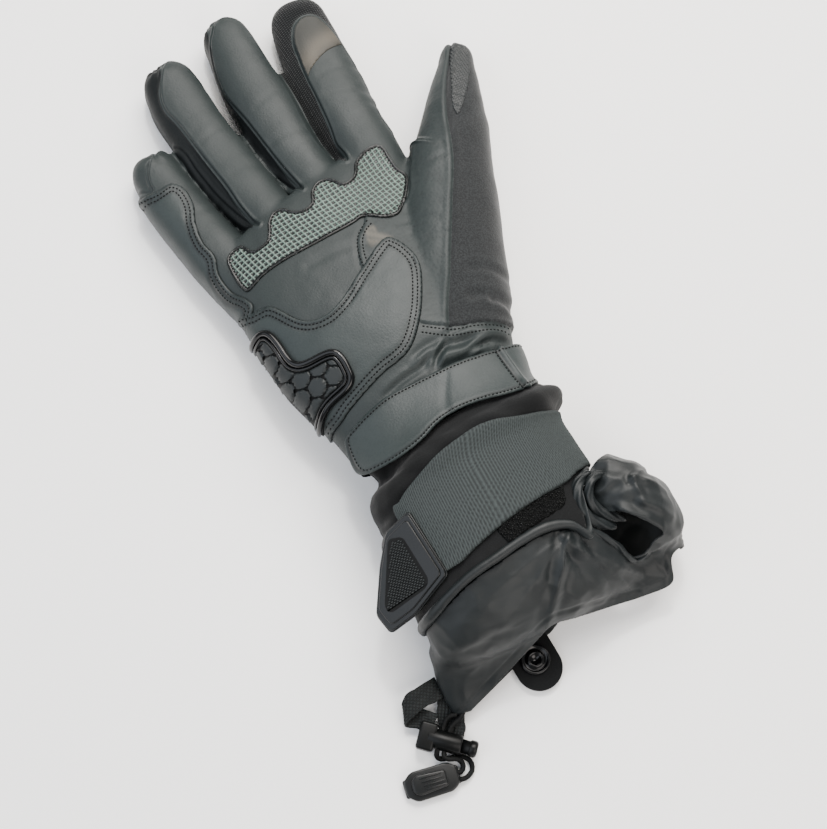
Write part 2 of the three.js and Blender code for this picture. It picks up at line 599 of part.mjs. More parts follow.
// A round bar along +X between two distances from the start.
function bar(radius, from, to, sides = 12) {
  const cylinder = new THREE.CylinderGeometry(radius, radius, to - from, sides);
  return cylinder.rotateZ(Math.PI / 2).translate((from + to) / 2, 0, 0);
}

// A block with rounded upright corners, from its end face along +X.
function roundedBlock(long, wide, low, high, corner) {
  const [x1, y1] = [long, wide / 2];
  const shape = new THREE.Shape();
  shape.absarc(x1 - corner, y1 - corner, corner, 0, Math.PI / 2);
  shape.absarc(corner, y1 - corner, corner, Math.PI / 2, Math.PI);
  shape.absarc(corner, corner - y1, corner, Math.PI, 1.5 * Math.PI);
  shape.absarc(x1 - corner, corner - y1, corner, 1.5 * Math.PI, 2 * Math.PI);
  const depth = high - low;
  const block = new THREE.ExtrudeGeometry(shape, { depth, bevelEnabled: false, curveSegments: 3 });
  return block.translate(0, 0, low);
}

const lockBlock = roundedBlock(LOCK.block, LOCK.wide, -LOCK.high / 2, LOCK.high / 2, 2);
const lockHoles = LOCK_HOLES.map((from) => {
  const hole = new THREE.CylinderGeometry(LOCK.hole, LOCK.hole, 30, 8);
  return lay(hole.translate(from, 0, 0), LOCK);
});
const lockOutside = lay(lockBlock, LOCK).add(lay(bar(LOCK.radius, 4, LOCK.length), LOCK));
const lockBore = lay(bar(LOCK_BUTTON.bore, LOCK_BUTTON.start, LOCK.length + 1), LOCK);
add("cord_lock", lockOutside.subtract(lockBore).subtract(union(lockHoles)), "plastic");
const lockStem = lay(bar(LOCK_BUTTON.stem, LOCK_BUTTON.inner, LOCK_BUTTON.end - 1), LOCK);
const lockHead = lay(bar(LOCK_BUTTON.head, LOCK_BUTTON.collar, LOCK_BUTTON.end), LOCK);
add("lock_button", lockStem.add(lockHead), "plastic");
const pullBase = roundedBlock(END_PULL.long, END_PULL.wide, 0.2, END_PULL.high, 3);
const { panel: raisedPanel } = END_PULL;
const pullLevels = [END_PULL.high - 0.5, END_PULL.high + raisedPanel.high];
const pullTop = roundedBlock(raisedPanel.long, raisedPanel.wide, ...pullLevels, 2);
pullTop.translate((END_PULL.long - raisedPanel.long) / 2, 0, 0);
add("end_pull", lay(pullBase, END_PULL).add(lay(pullTop, END_PULL)), "plastic");

for (const [name, route] of Object.entries(CORD_ROUTES)) {
  const path = new THREE.CatmullRomCurve3(route.map((p) => new THREE.Vector3(...p)), false, "centripetal");
  const round = new THREE.Shape(ringPoints(CORD / 2, 8));
  const cord = new THREE.ExtrudeGeometry(round, { extrudePath: path, steps: 17, bevelEnabled: false });
  add(name, solid(cord), "elastic");
}

// The loop of webbing that ties the lock to the skirt's corner.
const tapePath = ease(WEBBING_ROWS, 14);
const tape = tapePath.map((row, i) => {
  const middle = new THREE.Vector3(row.x, row.y, row.z);
  const before = tapePath[Math.max(i - 1, 0)];
  const after = tapePath[Math.min(i + 1, 14)];
  const run = new THREE.Vector3(after.x - before.x, after.y - before.y, after.z - before.z).normalize();
  const aim = THREE.MathUtils.degToRad(row.aim);
  const side = new THREE.Vector3(Math.cos(aim), Math.sin(aim), 0);
  const up = new THREE.Vector3().crossVectors(side, run).normalize();
  return [[-1, -1], [1, -1], [1, 1], [-1, 1]].map(([a, b]) =>
    middle.clone().addScaledVector(side, (a * WEBBING.wide) / 2).addScaledVector(up, (b * WEBBING.thick) / 2),
  );
});
const loop = solid(skin(tape)).subtract(lockOutside).subtract(skirtBody(2 * GAP));
add("webbing_loop", largest(loop), "elastic");

glove.position.set(-BOX_CENTRE.x, -BOX_CENTRE.y, 0);
export default glove;
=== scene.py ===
"""Dresses the insulated winter glove: leather hand, padded cuff, nylon skirt and drawcord.

Everything is built in millimetres measured from the wrist crease, with +Y towards the fingertips,
+X towards the thumb and +Z up out of the palm. finish_piece turns that into the model's own frame.
"""

import logging
import math
from dataclasses import dataclass, field
from enum import Enum
from typing import Callable, NamedTuple, Sequence

import bmesh
import bpy
import numpy as np
from mathutils import Matrix, Vector, noise
from mathutils.bvhtree import BVHTree

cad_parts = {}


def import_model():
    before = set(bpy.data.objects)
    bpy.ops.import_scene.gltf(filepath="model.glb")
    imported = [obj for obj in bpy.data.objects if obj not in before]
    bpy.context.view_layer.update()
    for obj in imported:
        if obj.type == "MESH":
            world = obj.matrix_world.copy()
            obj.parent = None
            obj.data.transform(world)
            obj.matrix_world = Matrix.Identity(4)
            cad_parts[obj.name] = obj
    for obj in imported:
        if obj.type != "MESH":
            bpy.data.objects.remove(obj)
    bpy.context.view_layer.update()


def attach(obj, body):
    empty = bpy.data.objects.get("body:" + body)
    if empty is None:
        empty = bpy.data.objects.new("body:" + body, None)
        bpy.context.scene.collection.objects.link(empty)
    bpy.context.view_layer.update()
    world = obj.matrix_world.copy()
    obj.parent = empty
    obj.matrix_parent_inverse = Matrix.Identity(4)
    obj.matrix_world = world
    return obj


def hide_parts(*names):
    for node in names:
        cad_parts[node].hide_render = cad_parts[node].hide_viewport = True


LOG = logging.getLogger("glove")
BOX_CENTRE = Vector((22.1, 40.4, 0.0))
TO_FRAME = Matrix.Scale(0.001, 4) @ Matrix.Translation(-BOX_CENTRE)
SQUARENESS = 2.4  # the exponent of a tube's section: 2 is an ellipse, more is squarer
HAND_END = -14.8  # the leather hand ends here, inside the cuff
LITTLE_ROWS = (2.1, 4.0)  # rows of stitches, from the little overlay's edge
PALM_ROWS = (2.1, 4.2)  # the same on the palm overlay
TILE_INSET = 4.6  # the hexagons stop this far inside the slider's outline
TAB_MIDDLE = (-38, -64)  # the pull tab's middle, seen from above
TAB_LEAN = 0.55  # how far the pull tab leans to its side, in radians
MOUTH_MIDDLE = (46, -83)  # the folds of the slumped lobe run out from here
BMesh = bmesh.types.BMesh
Points = np.ndarray
Outline = Sequence[tuple[float, float]]


class Ring(NamedTuple):
    """One section of a tube: its middle, and its outside width and height."""

    x: float
    y: float
    z: float
    wide: float
    high: float


HAND = (
    Ring(9, -19, 19, 83, 40.5), Ring(9.5, 6, 19.5, 92, 42), Ring(10, 30, 20, 103, 44),
    Ring(8, 55, 19, 104, 42), Ring(6.5, 80, 17, 104, 38), Ring(3.5, 98, 15, 105, 33),
    Ring(1.5, 109, 13.5, 104, 28),
)
FINGERS = {
    "little": (
        Ring(-31, 78, 13.5, 28, 29), Ring(-37, 104, 12.5, 27.5, 27), Ring(-40.8, 125, 11.5, 25.5, 25.5),
        Ring(-43.8, 146, 11.2, 24.5, 24.5), Ring(-44.6, 158, 11, 23.5, 24),
    ),
    "ring": (
        Ring(-6, 84, 14, 30, 31), Ring(-10, 114, 12.5, 26.5, 28), Ring(-14.4, 140, 12, 29.2, 27),
        Ring(-17.6, 165, 11.5, 29.2, 26), Ring(-18.3, 184, 11.3, 29, 25.5), Ring(-18, 195, 11.2, 27, 25),
    ),
    "middle": (
        Ring(18, 86, 14, 28, 31), Ring(17, 117, 12.5, 25.5, 28), Ring(15, 142, 12, 29, 27),
        Ring(15, 168, 11.5, 30, 26.5), Ring(15.8, 188, 11.3, 27.5, 26), Ring(17, 203, 11.2, 25, 25),
    ),
    "index": (
        Ring(43, 86, 14, 29, 31), Ring(45.5, 120, 12.5, 29, 28.5), Ring(46, 142, 12, 31, 28),
        Ring(47.5, 167, 11.8, 33, 27), Ring(49.5, 184, 11.5, 31.5, 26.5), Ring(51, 194, 11.3, 29, 26),
    ),
}
THUMB = (
    Ring(27, 5, 20, 46, 38), Ring(38, 26, 20, 52, 42), Ring(56, 60, 20, 48, 40),
    Ring(71, 86, 19.5, 41, 37), Ring(85, 107, 18, 34, 33), Ring(94, 121, 16.5, 28, 29),
    Ring(104, 137, 14.5, 19, 22),
)
CUFF = (
    Ring(9, -11, 19.5, 80, 38), Ring(10.3, -21, 23, 90, 48), Ring(10.3, -28, 25, 95, 54),
    Ring(6.5, -38, 24, 90, 52), Ring(5.5, -50, 24.5, 91, 52.5), Ring(5, -66, 25, 93, 54),
    Ring(3, -84, 25, 95, 54), Ring(2.5, -98, 25, 96, 54),
)
SKIRT = (
    Ring(4.5, -58, 25, 92, 53), Ring(3.5, -84, 24, 94, 50), Ring(4, -97, 19.5, 100, 41),
    Ring(3.5, -109, 11, 105, 24), Ring(2, -127, 4.6, 104, 9.2),
)
SLUMP = (
    Ring(46, -61, 21, 18, 34), Ring(55, -75, 23, 30, 44), Ring(59.5, -90, 22, 37, 44),
    Ring(58, -105, 12, 33, 26), Ring(49, -130, 4.5, 22, 9),
)
WRIST_BAND = (
    Ring(9.4, 7, 20, 95, 45), Ring(9, -6, 21, 90.5, 46), Ring(8.2, -17, 22.5, 88, 50),
    Ring(9.4, -27, 25.5, 94, 57),
)

# Seam lines and outlines seen from above.
THUMB_SEAM = (
    (114, 158), (102, 140), (92, 126), (84, 112), (74, 89), (63, 71), (53, 55), (43, 39), (35, 27),
    (29.5, 16),
)
THUMB_WELT = (
    (74, 160), (66, 126), (62.5, 112), (59.7, 103), (54, 95), (48, 85), (36, 80), (27, 85), (22, 80),
    (17, 76), (13, 68), (11, 60), (13, 52), (16, 40), (20, 27), (33, 18), (42, 15), (56, 9), (85, 0),
)
FRONT_PANELS = (
    (-60, 60), (-62, 147), (-50.5, 147.5), (-49.5, 151.5), (-48, 156.5), (-45, 161), (-41, 165),
    (-35, 166.5), (-31, 163), (-29, 157), (-28.5, 148), (-26.5, 133), (-22.5, 118), (-19, 109),
    (-16.3, 106.5), (-17.6, 112), (-19.2, 122), (-20, 133), (-22, 149), (-24, 169), (-26, 181),
    (-24, 190), (-18, 200), (-13, 204), (-6.5, 198), (-4.8, 190), (-4.6, 180), (-4.2, 167), (-2.6, 153),
    (-1, 142), (1.5, 130), (5.5, 118), (8.6, 111.5), (9.2, 116), (6.8, 130), (5.2, 144), (4, 158),
    (2, 175), (4, 189), (7, 199), (12, 206), (18, 211), (24, 208), (27, 200), (27.6, 190), (28, 175),
    (28, 160), (27, 145), (27.2, 132), (30, 121), (33, 115), (34.8, 119), (34, 127), (35.6, 136),
    (37, 148), (38.2, 163), (39.6, 172), (41.5, 181), (46, 188), (52, 190.4), (57.6, 187.5), (60.6, 180),
    (62, 170), (62.6, 158), (61.5, 140), (60, 128), (64, 110), (80, 60),
)
SIDE_PANELS = {
    "ring": (
        (-19, 108), (-20.5, 122), (-21, 133), (-23, 149), (-25, 169), (-27, 181), (-25, 190), (-19, 200),
        (-21, 212), (-60, 206), (-52, 176), (-36, 166), (-31.5, 158), (-31, 148), (-29.5, 133),
        (-26, 120), (-22.5, 111),
    ),
    "middle": (
        (7.5, 113), (6.5, 122), (4.5, 144), (1.5, 175), (3.5, 189), (7.5, 200), (6, 216), (-40, 218),
        (-30, 205), (-9, 200), (-5, 190), (-3.6, 180), (-2.6, 167), (-1, 153), (0.2, 142), (2.4, 131),
        (5, 120),
    ),
    "index": (
        (33.6, 116), (33.4, 126), (36.2, 148), (37.6, 163), (38.8, 172), (40.8, 181.5), (45.4, 189),
        (52, 191.4), (58.2, 188.4), (61.6, 180.5), (63, 170), (64, 160), (72, 166), (70, 214), (20, 220),
        (24, 212), (28.5, 196), (29.2, 181), (30.2, 170), (30.2, 155), (29.4, 144), (29.6, 132),
        (31, 121),
    ),
}
KNUCKLE_STRIP = (
    (-37.5, 98.8), (-34.9, 101.7), (-31.8, 102.9), (-28.3, 102.6), (-26.7, 99.7), (-25.5, 97.0),
    (-22.5, 96.3), (-17.6, 97.3), (-14.8, 101.4), (-12.8, 105.2), (-9.1, 108.4), (-5.4, 108.6),
    (-3.0, 107.2), (-1.2, 104.4), (2.2, 102.2), (6.5, 102), (9, 104), (10.6, 107.8), (14.7, 111.2),
    (19.0, 111.4), (22.1, 109.7), (23.8, 106.7), (25.3, 104.5), (28.4, 104.3), (32.0, 106.3),
    (35.8, 112.1), (41.6, 115.0), (47.0, 115.2), (49.7, 114.2), (51.0, 111.3), (50.9, 105.6),
    (51.3, 99.8), (53.2, 94.4), (48.3, 86.1), (42.2, 79.8), (37.8, 77.6), (32.4, 78.9), (27.5, 82.5),
    (23.8, 84.2), (18.8, 83.4), (4.6, 83.3), (-5.5, 83.4), (-15.5, 83.7), (-26.1, 83.2), (-35.4, 80.8),
    (-37.6, 83.3), (-38.3, 90.0),
)
LITTLE_OVERLAY = (
    (-64, 152), (-55, 148.5), (-49, 146), (-42, 146.5), (-38, 143), (-36.8, 138), (-37.4, 131),
    (-40.5, 123), (-42, 113), (-40.6, 104), (-43, 96), (-42, 86), (-38, 78), (-38, 72), (-48, 66),
    (-64, 70),
)
PALM_OVERLAY = (
    (-50, 76), (-39, 71), (-31, 68), (-23, 54.5), (-14, 50.5), (-4, 53), (10, 61), (26, 69.5), (31, 67),
    (34, 60), (34.5, 52), (31, 43), (22, 29), (10, 18), (-6, 14.5), (-24, 9), (-33, 6), (-58, 4),
    (-62, 60),
)
SLIDER_EDGE = (
    (-58, 57), (-50, 60), (-43.2, 61.6), (-40.1, 61.3), (-37.4, 59.2), (-35.9, 55.2), (-35.2, 50.0),
    (-35.0, 43.9), (-34.2, 39.8), (-32.0, 37.8), (-28.0, 36.9), (-23.2, 36.4), (-19.3, 35.4),
    (-16.4, 33.1), (-15.2, 28.9), (-15.3, 23.8), (-16.1, 19.3), (-19.0, 16.3), (-23.3, 14.9),
    (-27.1, 14.5), (-31.1, 13.7), (-34.9, 12.0), (-38.3, 9.1), (-41, 6.5), (-58, 3),
)
TOUCH_PATCH = (
    (66, 171), (59.5, 169.8), (54, 169), (49.5, 167.8), (45.3, 166), (41, 163.6), (36, 160.5), (34, 175),
    (38, 190), (48, 197), (60, 195), (68, 184),
)
WORN_SPOT = (
    (26.5, 78.8), (22.4, 77.9), (20.6, 75.6), (19.9, 71.7), (20, 68.3), (24.3, 68.6), (31, 68),
    (29.7, 70.9), (26.7, 73.8), (26.7, 76.5),
)
THUMB_TIP_PATCH = (
    (103, 141), (108, 141), (110, 137), (106, 128), (98, 117), (90, 109), (86.5, 107), (87.5, 113), (94, 125),
)
HOOK_PATCH = ((2, -77), (4, -62), (33, -60), (32.5, -73), (26, -75.5), (10, -76.5))
STRAP_EDGE = (
    (-33, -1.5), (-31, 0), (-27, 1), (-20, 2.6), (-8.5, 4.4), (9.2, 3.8), (26, 2.6), (45, 0.4),
    (80, -1.5), (80, -17.5), (56, -19), (50, -21.2), (43, -22.4), (34, -21.2), (27.3, -19.4), (18, -17.6),
    (9.4, -17.2), (2, -18.4), (-5, -21), (-12, -22.4), (-20, -22.8), (-28, -21.6), (-32.5, -19.8),
    (-34.6, -17), (-35, -13), (-34.4, -7),
)
ELASTIC_EDGE = (
    (-27, -38.4), (-20, -35), (-4, -30), (11, -28.3), (23, -29), (38, -33), (80, -41), (80, -62),
    (48, -64), (36, -67), (20, -67.5), (4, -69.5), (-12, -73), (-27, -77), (-31, -74), (-31, -42),
)
CUFF_END = (
    (-70, -92), (-43, -88), (-21, -83), (-4, -81.5), (12, -80.5), (22, -81.5), (29, -85), (34, -91),
    (38, -82), (42, -72), (48, -66.5), (56, -63), (75, -60),
)
HEM = (
    (-90, -124), (-52, -125.5), (-45, -126), (-40, -124.4), (-31, -122), (-17, -118.4), (2, -113.4),
    (14, -115), (31, -118), (47, -121), (60, -122), (66, -112), (90, -112),
)
MOUTH = (
    (36.5, -83), (43.1, -83.5), (49.1, -86.7), (54.5, -92.7), (59.8, -99.4), (62.5, -104.4),
    (57.8, -104.8), (55.2, -106.1), (51.6, -107.0), (46.9, -105.0), (45.0, -99.9), (40.9, -94.4),
    (37.6, -90.4), (35.3, -87.2),
)
# The lower lip of the mouth seen from above, and the routes of the cloth rolled round it.
MOUTH_LIP = (
    (33.5, -85), (36.6, -89.5), (40.2, -94.2), (43.6, -98.8), (45.4, -103.6), (49, -107.2), (54, -107.4),
)
MOUTH_ROLL_OUTER = (
    (49, -66.5, 41), (44, -67.5, 44), (39.5, -71, 45.5), (37, -77, 45), (38.5, -83.5, 42.5),
    (43, -88.5, 38.5), (48, -91.5, 34),
)
MOUTH_ROLL_INNER = (
    (55, -70.5, 42), (50, -70, 45), (45, -72, 46), (42.2, -77, 44.5), (43.5, -82.5, 41.5),
    (48, -87, 37.5), (53, -91, 33),
)
MOUTH_CRUMPLE = (
    (33.5, -90, 39), (37, -91, 34), (37.3, -94, 32), (40.4, -96, 31), (41, -99.5, 30), (37.5, -101, 31),
    (34.4, -98, 34),
)
# The webbing: its middle line, the direction across it in degrees, and its width.
WEBBING_LOOP = (
    (-49, -109.5, 6.4, 85, 9), (-56, -109.6, 7.8, 88, 9), (-63, -110.4, 8, 84, 9),
    (-67.4, -112, 6.4, 70, 8.5), (-66.6, -114.4, 4.2, 48, 8), (-62, -117.4, 3.8, 38, 8),
    (-58, -121.5, 4, 34, 8),
)
WEBBING_STRIP = (
    (-44.5, -111.5, 4.4, -30, 11), (-47, -116, 3.6, -30, 11.5), (-50, -122, 2.4, -28, 11.5),
    (-53, -127.5, 1.6, -30, 11), (-55, -131, 1.3, -32, 10),
)
# Folds of loose leather between the wrist seam and the strap: from, to, height (a groove's is below 0)
# and width.
WRIST_FOLDS = (
    (17, 8.2, 38, 4.6, 2.2, 2.2), (9, 11.5, 24, 13.2, 1.4, 1.5), (36, 9.5, 54, 5, 1.6, 1.7),
    (15.5, 6, 27, 13.4, -2.0, 1.1), (30, 4.6, 44, 5.2, -1.5, 1.0), (28, 14, 48, 9.5, 1.1, 1.4),
    (-10, 5.5, 12, 8.5, -1.0, 1.4),
)
# Creases pressed into the leather: from, to, depth and width.
CREASES = (
    (44, 160, 62, 156, 0.14, 1.6), (42, 150, 61, 142, 0.2, 1.8), (50, 138, 60, 135, 0.15, 1.4),
    (10, 160, 27, 163, 0.12, 1.6), (8, 141, 26, 139, 0.16, 1.8), (-20, 157, -3, 160, 0.12, 1.6),
    (-14, 137, -2, 134, 0.16, 1.8), (-42, 128, -28, 126, 0.14, 1.5), (-8, 76, 20, 72, 0.25, 2.0),
    (36, 74, 52, 66, 0.2, 1.4), (40, 60, 56, 55, 0.2, 1.4), (60, 92, 76, 90, 0.2, 1.4),
    (46, 27, 64, 16, 1.0, 2.0), (52, 38, 66, 29, 0.6, 1.8), (54, 21, 62, 12, 1.0, 1.6),
)
# Folds of the skirt: from, to, height (a groove's is below 0) and width.
PLEATS = (
    (24, -87, 0, -113, 3.0, 1.2), (19, -88.5, -20, -106, 0.7, 1.4), (16, -86.5, -28, -93, 0.6, 1.6),
    (22, -91, 24, -116, -1.2, 1.8), (25, -91, 43, -118, 1.6, 1.2), (31, -92, 33, -117, -1.0, 1.6),
    (34, -99, 52, -119, 1.0, 1.3), (8, -98, 20, -114, 0.8, 1.2), (54, -106, 59, -119, -1.4, 1.4),
    (57, -105, 63, -112, -1.2, 1.2), (40, -107, 58, -119, 1.1, 1.0), (54, -65, 66, -73, 1.4, 1.0),
    (50, -70, 60, -80, 1.2, 1.0), (47, -76.5, 58, -76.4, 1.1, 0.9), (62, -79, 73.5, -89.5, 1.5, 0.8),
    (62, -79, 73.6, -76.5, 1.3, 0.8), (73, -77.6, 73.8, -88.9, -1.8, 2.0),
    (61.3, -81.7, 60, -91, 1.1, 0.8), (59.5, -89, 69.6, -100.5, 1.3, 0.9),
    (50.8, -87.3, 67.8, -109.5, 1.8, 1.3),
)


# Geometry helpers.


def smooth_rows(table: Points, t: Points) -> Points:
    """Eases through a table's rows.

    Args:
        table: One row for each section.
        t: Where to read, from 0 at the first row to 1 at the last.

    Returns:
        One eased row for each value of t.
    """
    at = np.clip(t, 0, 1) * (len(table) - 1)
    k = np.clip(at.astype(int), 0, len(table) - 2)
    f = (at - k)[:, None]
    last = len(table) - 1
    p0, p1, p2, p3 = (table[np.clip(k + n, 0, last)] for n in (-1, 0, 1, 2))
    return 0.5 * (
        2 * p1 + (p2 - p0) * f + (2 * p0 - 5 * p1 + 4 * p2 - p3) * f**2 + (3 * p1 - p0 - 3 * p2 + p3) * f**3
    )


def curve(points: Outline, step: float, closed: bool = False) -> Points:
    """A rounded line through points.

    Args:
        points: The points, in order.
        step: The spacing of the result, in millimetres.
        closed: Whether the line runs back to its start.

    Returns:
        Evenly spaced points.
    """
    given = np.array(points, float)
    if closed:
        given = np.vstack([given[-2:], given, given[:3]])
    dense = smooth_rows(given, np.linspace(0, 1, len(given) * 12))
    if closed:
        count = len(given) - 1
        dense = smooth_rows(given, np.linspace(2 / count, (count - 2) / count, count * 12))
    run = np.concatenate([[0], np.cumsum(np.linalg.norm(np.diff(dense, axis=0), axis=1))])
    at = np.linspace(0, run[-1], max(2, int(run[-1] / step) + 1))
    return np.stack([np.interp(at, run, dense[:, k]) for k in range(dense.shape[1])], axis=1)


def line_distance(p: Points, line: Points) -> tuple[Points, Points]:
    """Distance from a line seen from above.

    Args:
        p: Points, of which x and y count.
        line: The line's points.

    Returns:
        The distance, positive on the line's left, and how far along the line the nearest place is.
    """
    best, side, along = np.full(len(p), 1e9), np.ones(len(p)), np.zeros(len(p))
    run = 0.0
    for a, b in zip(line[:-1], line[1:]):
        ab = b - a
        length = max(float(np.hypot(*ab)), 1e-9)
        t = np.clip(((p[:, :2] - a) @ ab) / length**2, 0, 1)
        off = p[:, :2] - (a + t[:, None] * ab)
        d = np.hypot(off[:, 0], off[:, 1])
        near = d < best
        best = np.where(near, d, best)
        side = np.where(near, np.where(ab[0] * off[:, 1] - ab[1] * off[:, 0] >= 0, 1.0, -1.0), side)
        along = np.where(near, run + t * length, along)
        run += length
    return best * side, along


def inside_distance(p: Points, outline: Points) -> Points:
    """Distance from a closed outline seen from above, positive inside it.

    Args:
        p: Points, of which x and y count.
        outline: The outline's points, without the first one again.

    Returns:
        One distance for each point.
    """
    ring = np.vstack([outline, outline[:1]])
    d, _ = line_distance(p, ring)
    odd = np.zeros(len(p), bool)
    for a, b in zip(ring[:-1], ring[1:]):
        if a[1] == b[1]:
            continue
        crosses = (a[1] > p[:, 1]) != (b[1] > p[:, 1])
        odd ^= crosses & (p[:, 0] < (b[0] - a[0]) * (p[:, 1] - a[1]) / (b[1] - a[1]) + a[0])
    return np.abs(d) * np.where(odd, 1, -1)


def bell(d: Points, wide: float) -> Points:
    """A bump of height 1 that is about wide on either side."""
    return np.exp(-((d / wide) ** 2))


def step_up(value: Points, low: float, high: float) -> Points:
    """Rises smoothly from 0 at low to 1 at high."""
    t = np.clip((value - low) / (high - low), 0, 1)
    return t * t * (3 - 2 * t)


def ripple(p: Points, size: float, depth: int = 3, seed: float = 0.0) -> Points:
    """Soft noise between about -1 and 1 whose largest lumps are size across."""
    shift = Vector((seed * 17.3, seed * 5.1, seed * 9.7))
    return np.array([noise.fractal(Vector(q) / size + shift, 1.0, 2.0, depth) for q in p])


def tube_points(rows: Sequence[Ring], u: Points, t: Points, grow: float, caps: tuple[float, float]) -> Points:
    """Points on a tube.

    Args:
        rows: The tube's sections.
        u: Where round the section, from 0 to 1, starting on the +X side and going over the top.
        t: Where along the tube, from 0 to 1.
        grow: How far outside the given sizes, in millimetres.
        caps: How far the rounded ends reach past the first and the last section, or 0 for an open end.

    Returns:
        One point for each u and t.
    """
    table = np.array(rows, float)
    lead, tail = (0.06 if caps[0] else 0.0), (0.14 if caps[1] else 0.0)
    body = np.clip((t - lead) / (1 - lead - tail), 0, 1)
    row = smooth_rows(table, body)
    middle = row[:, :3]
    if caps[0] or caps[1]:
        ahead = smooth_rows(table[:, :3], np.clip(body + 0.01, 0, 1))
        along = ahead - smooth_rows(table[:, :3], np.clip(body - 0.01, 0, 1))
        along /= np.linalg.norm(along, axis=1)[:, None]
    else:
        along = np.tile([0.0, 1.0, 0.0], (len(t), 1))
    across = np.stack([along[:, 1], -along[:, 0], np.zeros(len(t))], axis=1)
    across /= np.linalg.norm(across, axis=1)[:, None]
    up = np.cross(across, along)
    first = np.clip(1 - t / lead, 0, 1) * math.pi / 2 if lead else np.zeros(len(t))
    last = np.clip((t - 1 + tail) / tail, 0, 1) * math.pi / 2 if tail else np.zeros(len(t))
    share = (np.cos(first) * np.cos(last)) ** 0.75
    slide = (caps[1] + grow) * np.sin(last) - (caps[0] + grow) * np.sin(first)
    c, s = np.cos(2 * math.pi * u), np.sin(2 * math.pi * u)
    bow_c, bow_s = (np.sign(v) * np.abs(v) ** (2 / SQUARENESS) for v in (c, s))
    half, rise = (row[:, 3] / 2 + grow) * share, (row[:, 4] / 2 + grow) * share
    return middle + along * slide[:, None] + across * (half * bow_c)[:, None] + up * (rise * bow_s)[:, None]


def co_of(bm: BMesh) -> Points:
    """The vertices' places."""
    return np.array([v.co[:] for v in bm.verts]).reshape(-1, 3)


def put(bm: BMesh, places: Points) -> None:
    """Moves the vertices.

    Args:
        bm: The mesh.
        places: One place for each vertex.
    """
    for v, p in zip(bm.verts, places):
        v.co = p
    bm.normal_update()


def normals_of(bm: BMesh) -> Points:
    """The vertices' normals."""
    return np.array([v.normal[:] for v in bm.verts]).reshape(-1, 3)


def mapped(sides: int, rings: int, place: Callable[[Points, Points], Points], wrapped: bool) -> BMesh:
    """A grid laid over a surface.

    Args:
        sides: Faces across u.
        rings: Faces across v.
        place: Turns u and v, each from 0 to 1, into points.
        wrapped: Whether u's two ends and any poles are the same place.

    Returns:
        The mesh, with its faces pointing outwards if it is closed.
    """
    bm = bmesh.new()
    bmesh.ops.create_grid(bm, x_segments=sides, y_segments=rings, size=0.5)
    uv = co_of(bm)[:, :2] + 0.5
    put(bm, place(uv[:, 0], uv[:, 1]))
    if wrapped:
        bmesh.ops.remove_doubles(bm, verts=bm.verts, dist=1e-4)
        bmesh.ops.recalc_face_normals(bm, faces=bm.faces)
    return bm


def tube_mesh(
    rows: Sequence[Ring], sides: int, rings: int, grow: float = 0.0, caps: tuple[float, float] = (0, 0)
) -> BMesh:
    """A tube through the rows, closed where it has caps."""
    return mapped(sides, rings, lambda u, t: tube_points(rows, u, t, grow, caps), True)


def merged(parts: Sequence[BMesh]) -> BMesh:
    """Joins meshes into one and frees them.

    Args:
        parts: The meshes.

    Returns:
        One mesh with all of them in it.
    """
    out = bmesh.new()
    for part in parts:
        mesh = bpy.data.meshes.new("part")
        part.to_mesh(mesh)
        part.free()
        out.from_mesh(mesh)
        bpy.data.meshes.remove(mesh)
    return out


def fused(parts: Sequence[BMesh], voxel: float) -> BMesh:
    """Joins closed meshes into one even skin.

    Args:
        parts: The closed meshes, which may overlap.
        voxel: The size of the skin's faces, in millimetres.

    Returns:
        The skin.
    """
    mesh = bpy.data.meshes.new("fused")
    bm = merged(parts)
    bm.to_mesh(mesh)
    bm.free()
    obj = bpy.data.objects.new("fused", mesh)
    bpy.context.scene.collection.objects.link(obj)
    remesh = obj.modifiers.new("skin", "REMESH")
    remesh.mode = "VOXEL"
    remesh.voxel_size = voxel
    remesh.adaptivity = 0
    found = obj.evaluated_get(bpy.context.evaluated_depsgraph_get())
    out = bmesh.new()
    out.from_mesh(found.to_mesh())
    found.to_mesh_clear()
    bpy.data.objects.remove(obj)
    bpy.data.meshes.remove(mesh)
    out.normal_update()
    return out


def relaxed(bm: BMesh, times: int) -> None:
    """Smooths a skin's steps away.

    Args:
        bm: The skin.
        times: How many rounds of smoothing it gets.
    """
    for _ in range(times):
        bmesh.ops.smooth_vert(
            bm, verts=bm.verts, factor=0.5, use_axis_x=True, use_axis_y=True, use_axis_z=True
        )
    bm.normal_update()


def on_table(p: Points, soft: float) -> Points:
    """Presses what would go below the table flat onto it.

    Args:
        p: The points.
        soft: The size of the rounded turn onto the table.

    Returns:
        The pressed points.
    """
    out = p.copy()
    out[:, 2] = soft * np.logaddexp(0, p[:, 2] / soft) + 0.15
    return out


def between(values: Points, v: Points) -> Points:
    """Reads a table of points with three numbers each.

    Args:
        values: The table.
        v: Where to read, from 0 at the first row to 1 at the last.

    Returns:
        One row for each value of v.
    """
    marks = np.arange(len(values))
    return np.stack([np.interp(v * marks[-1], marks, values[:, k]) for k in range(3)], axis=1)


def copied(one: BMesh, places: Sequence[Matrix]) -> BMesh:
    """Copies a small mesh to many places.

    Args:
        one: The mesh, which is freed.
        places: Where the copies go.

    Returns:
        One mesh with all the copies in it.
    """
    mesh = bpy.data.meshes.new("one")
    one.to_mesh(mesh)
    one.free()
    out = bmesh.new()
    for place in places:
        copy = mesh.copy()
        copy.transform(place)
        out.from_mesh(copy)
        bpy.data.meshes.remove(copy)
    bpy.data.meshes.remove(mesh)
    return out


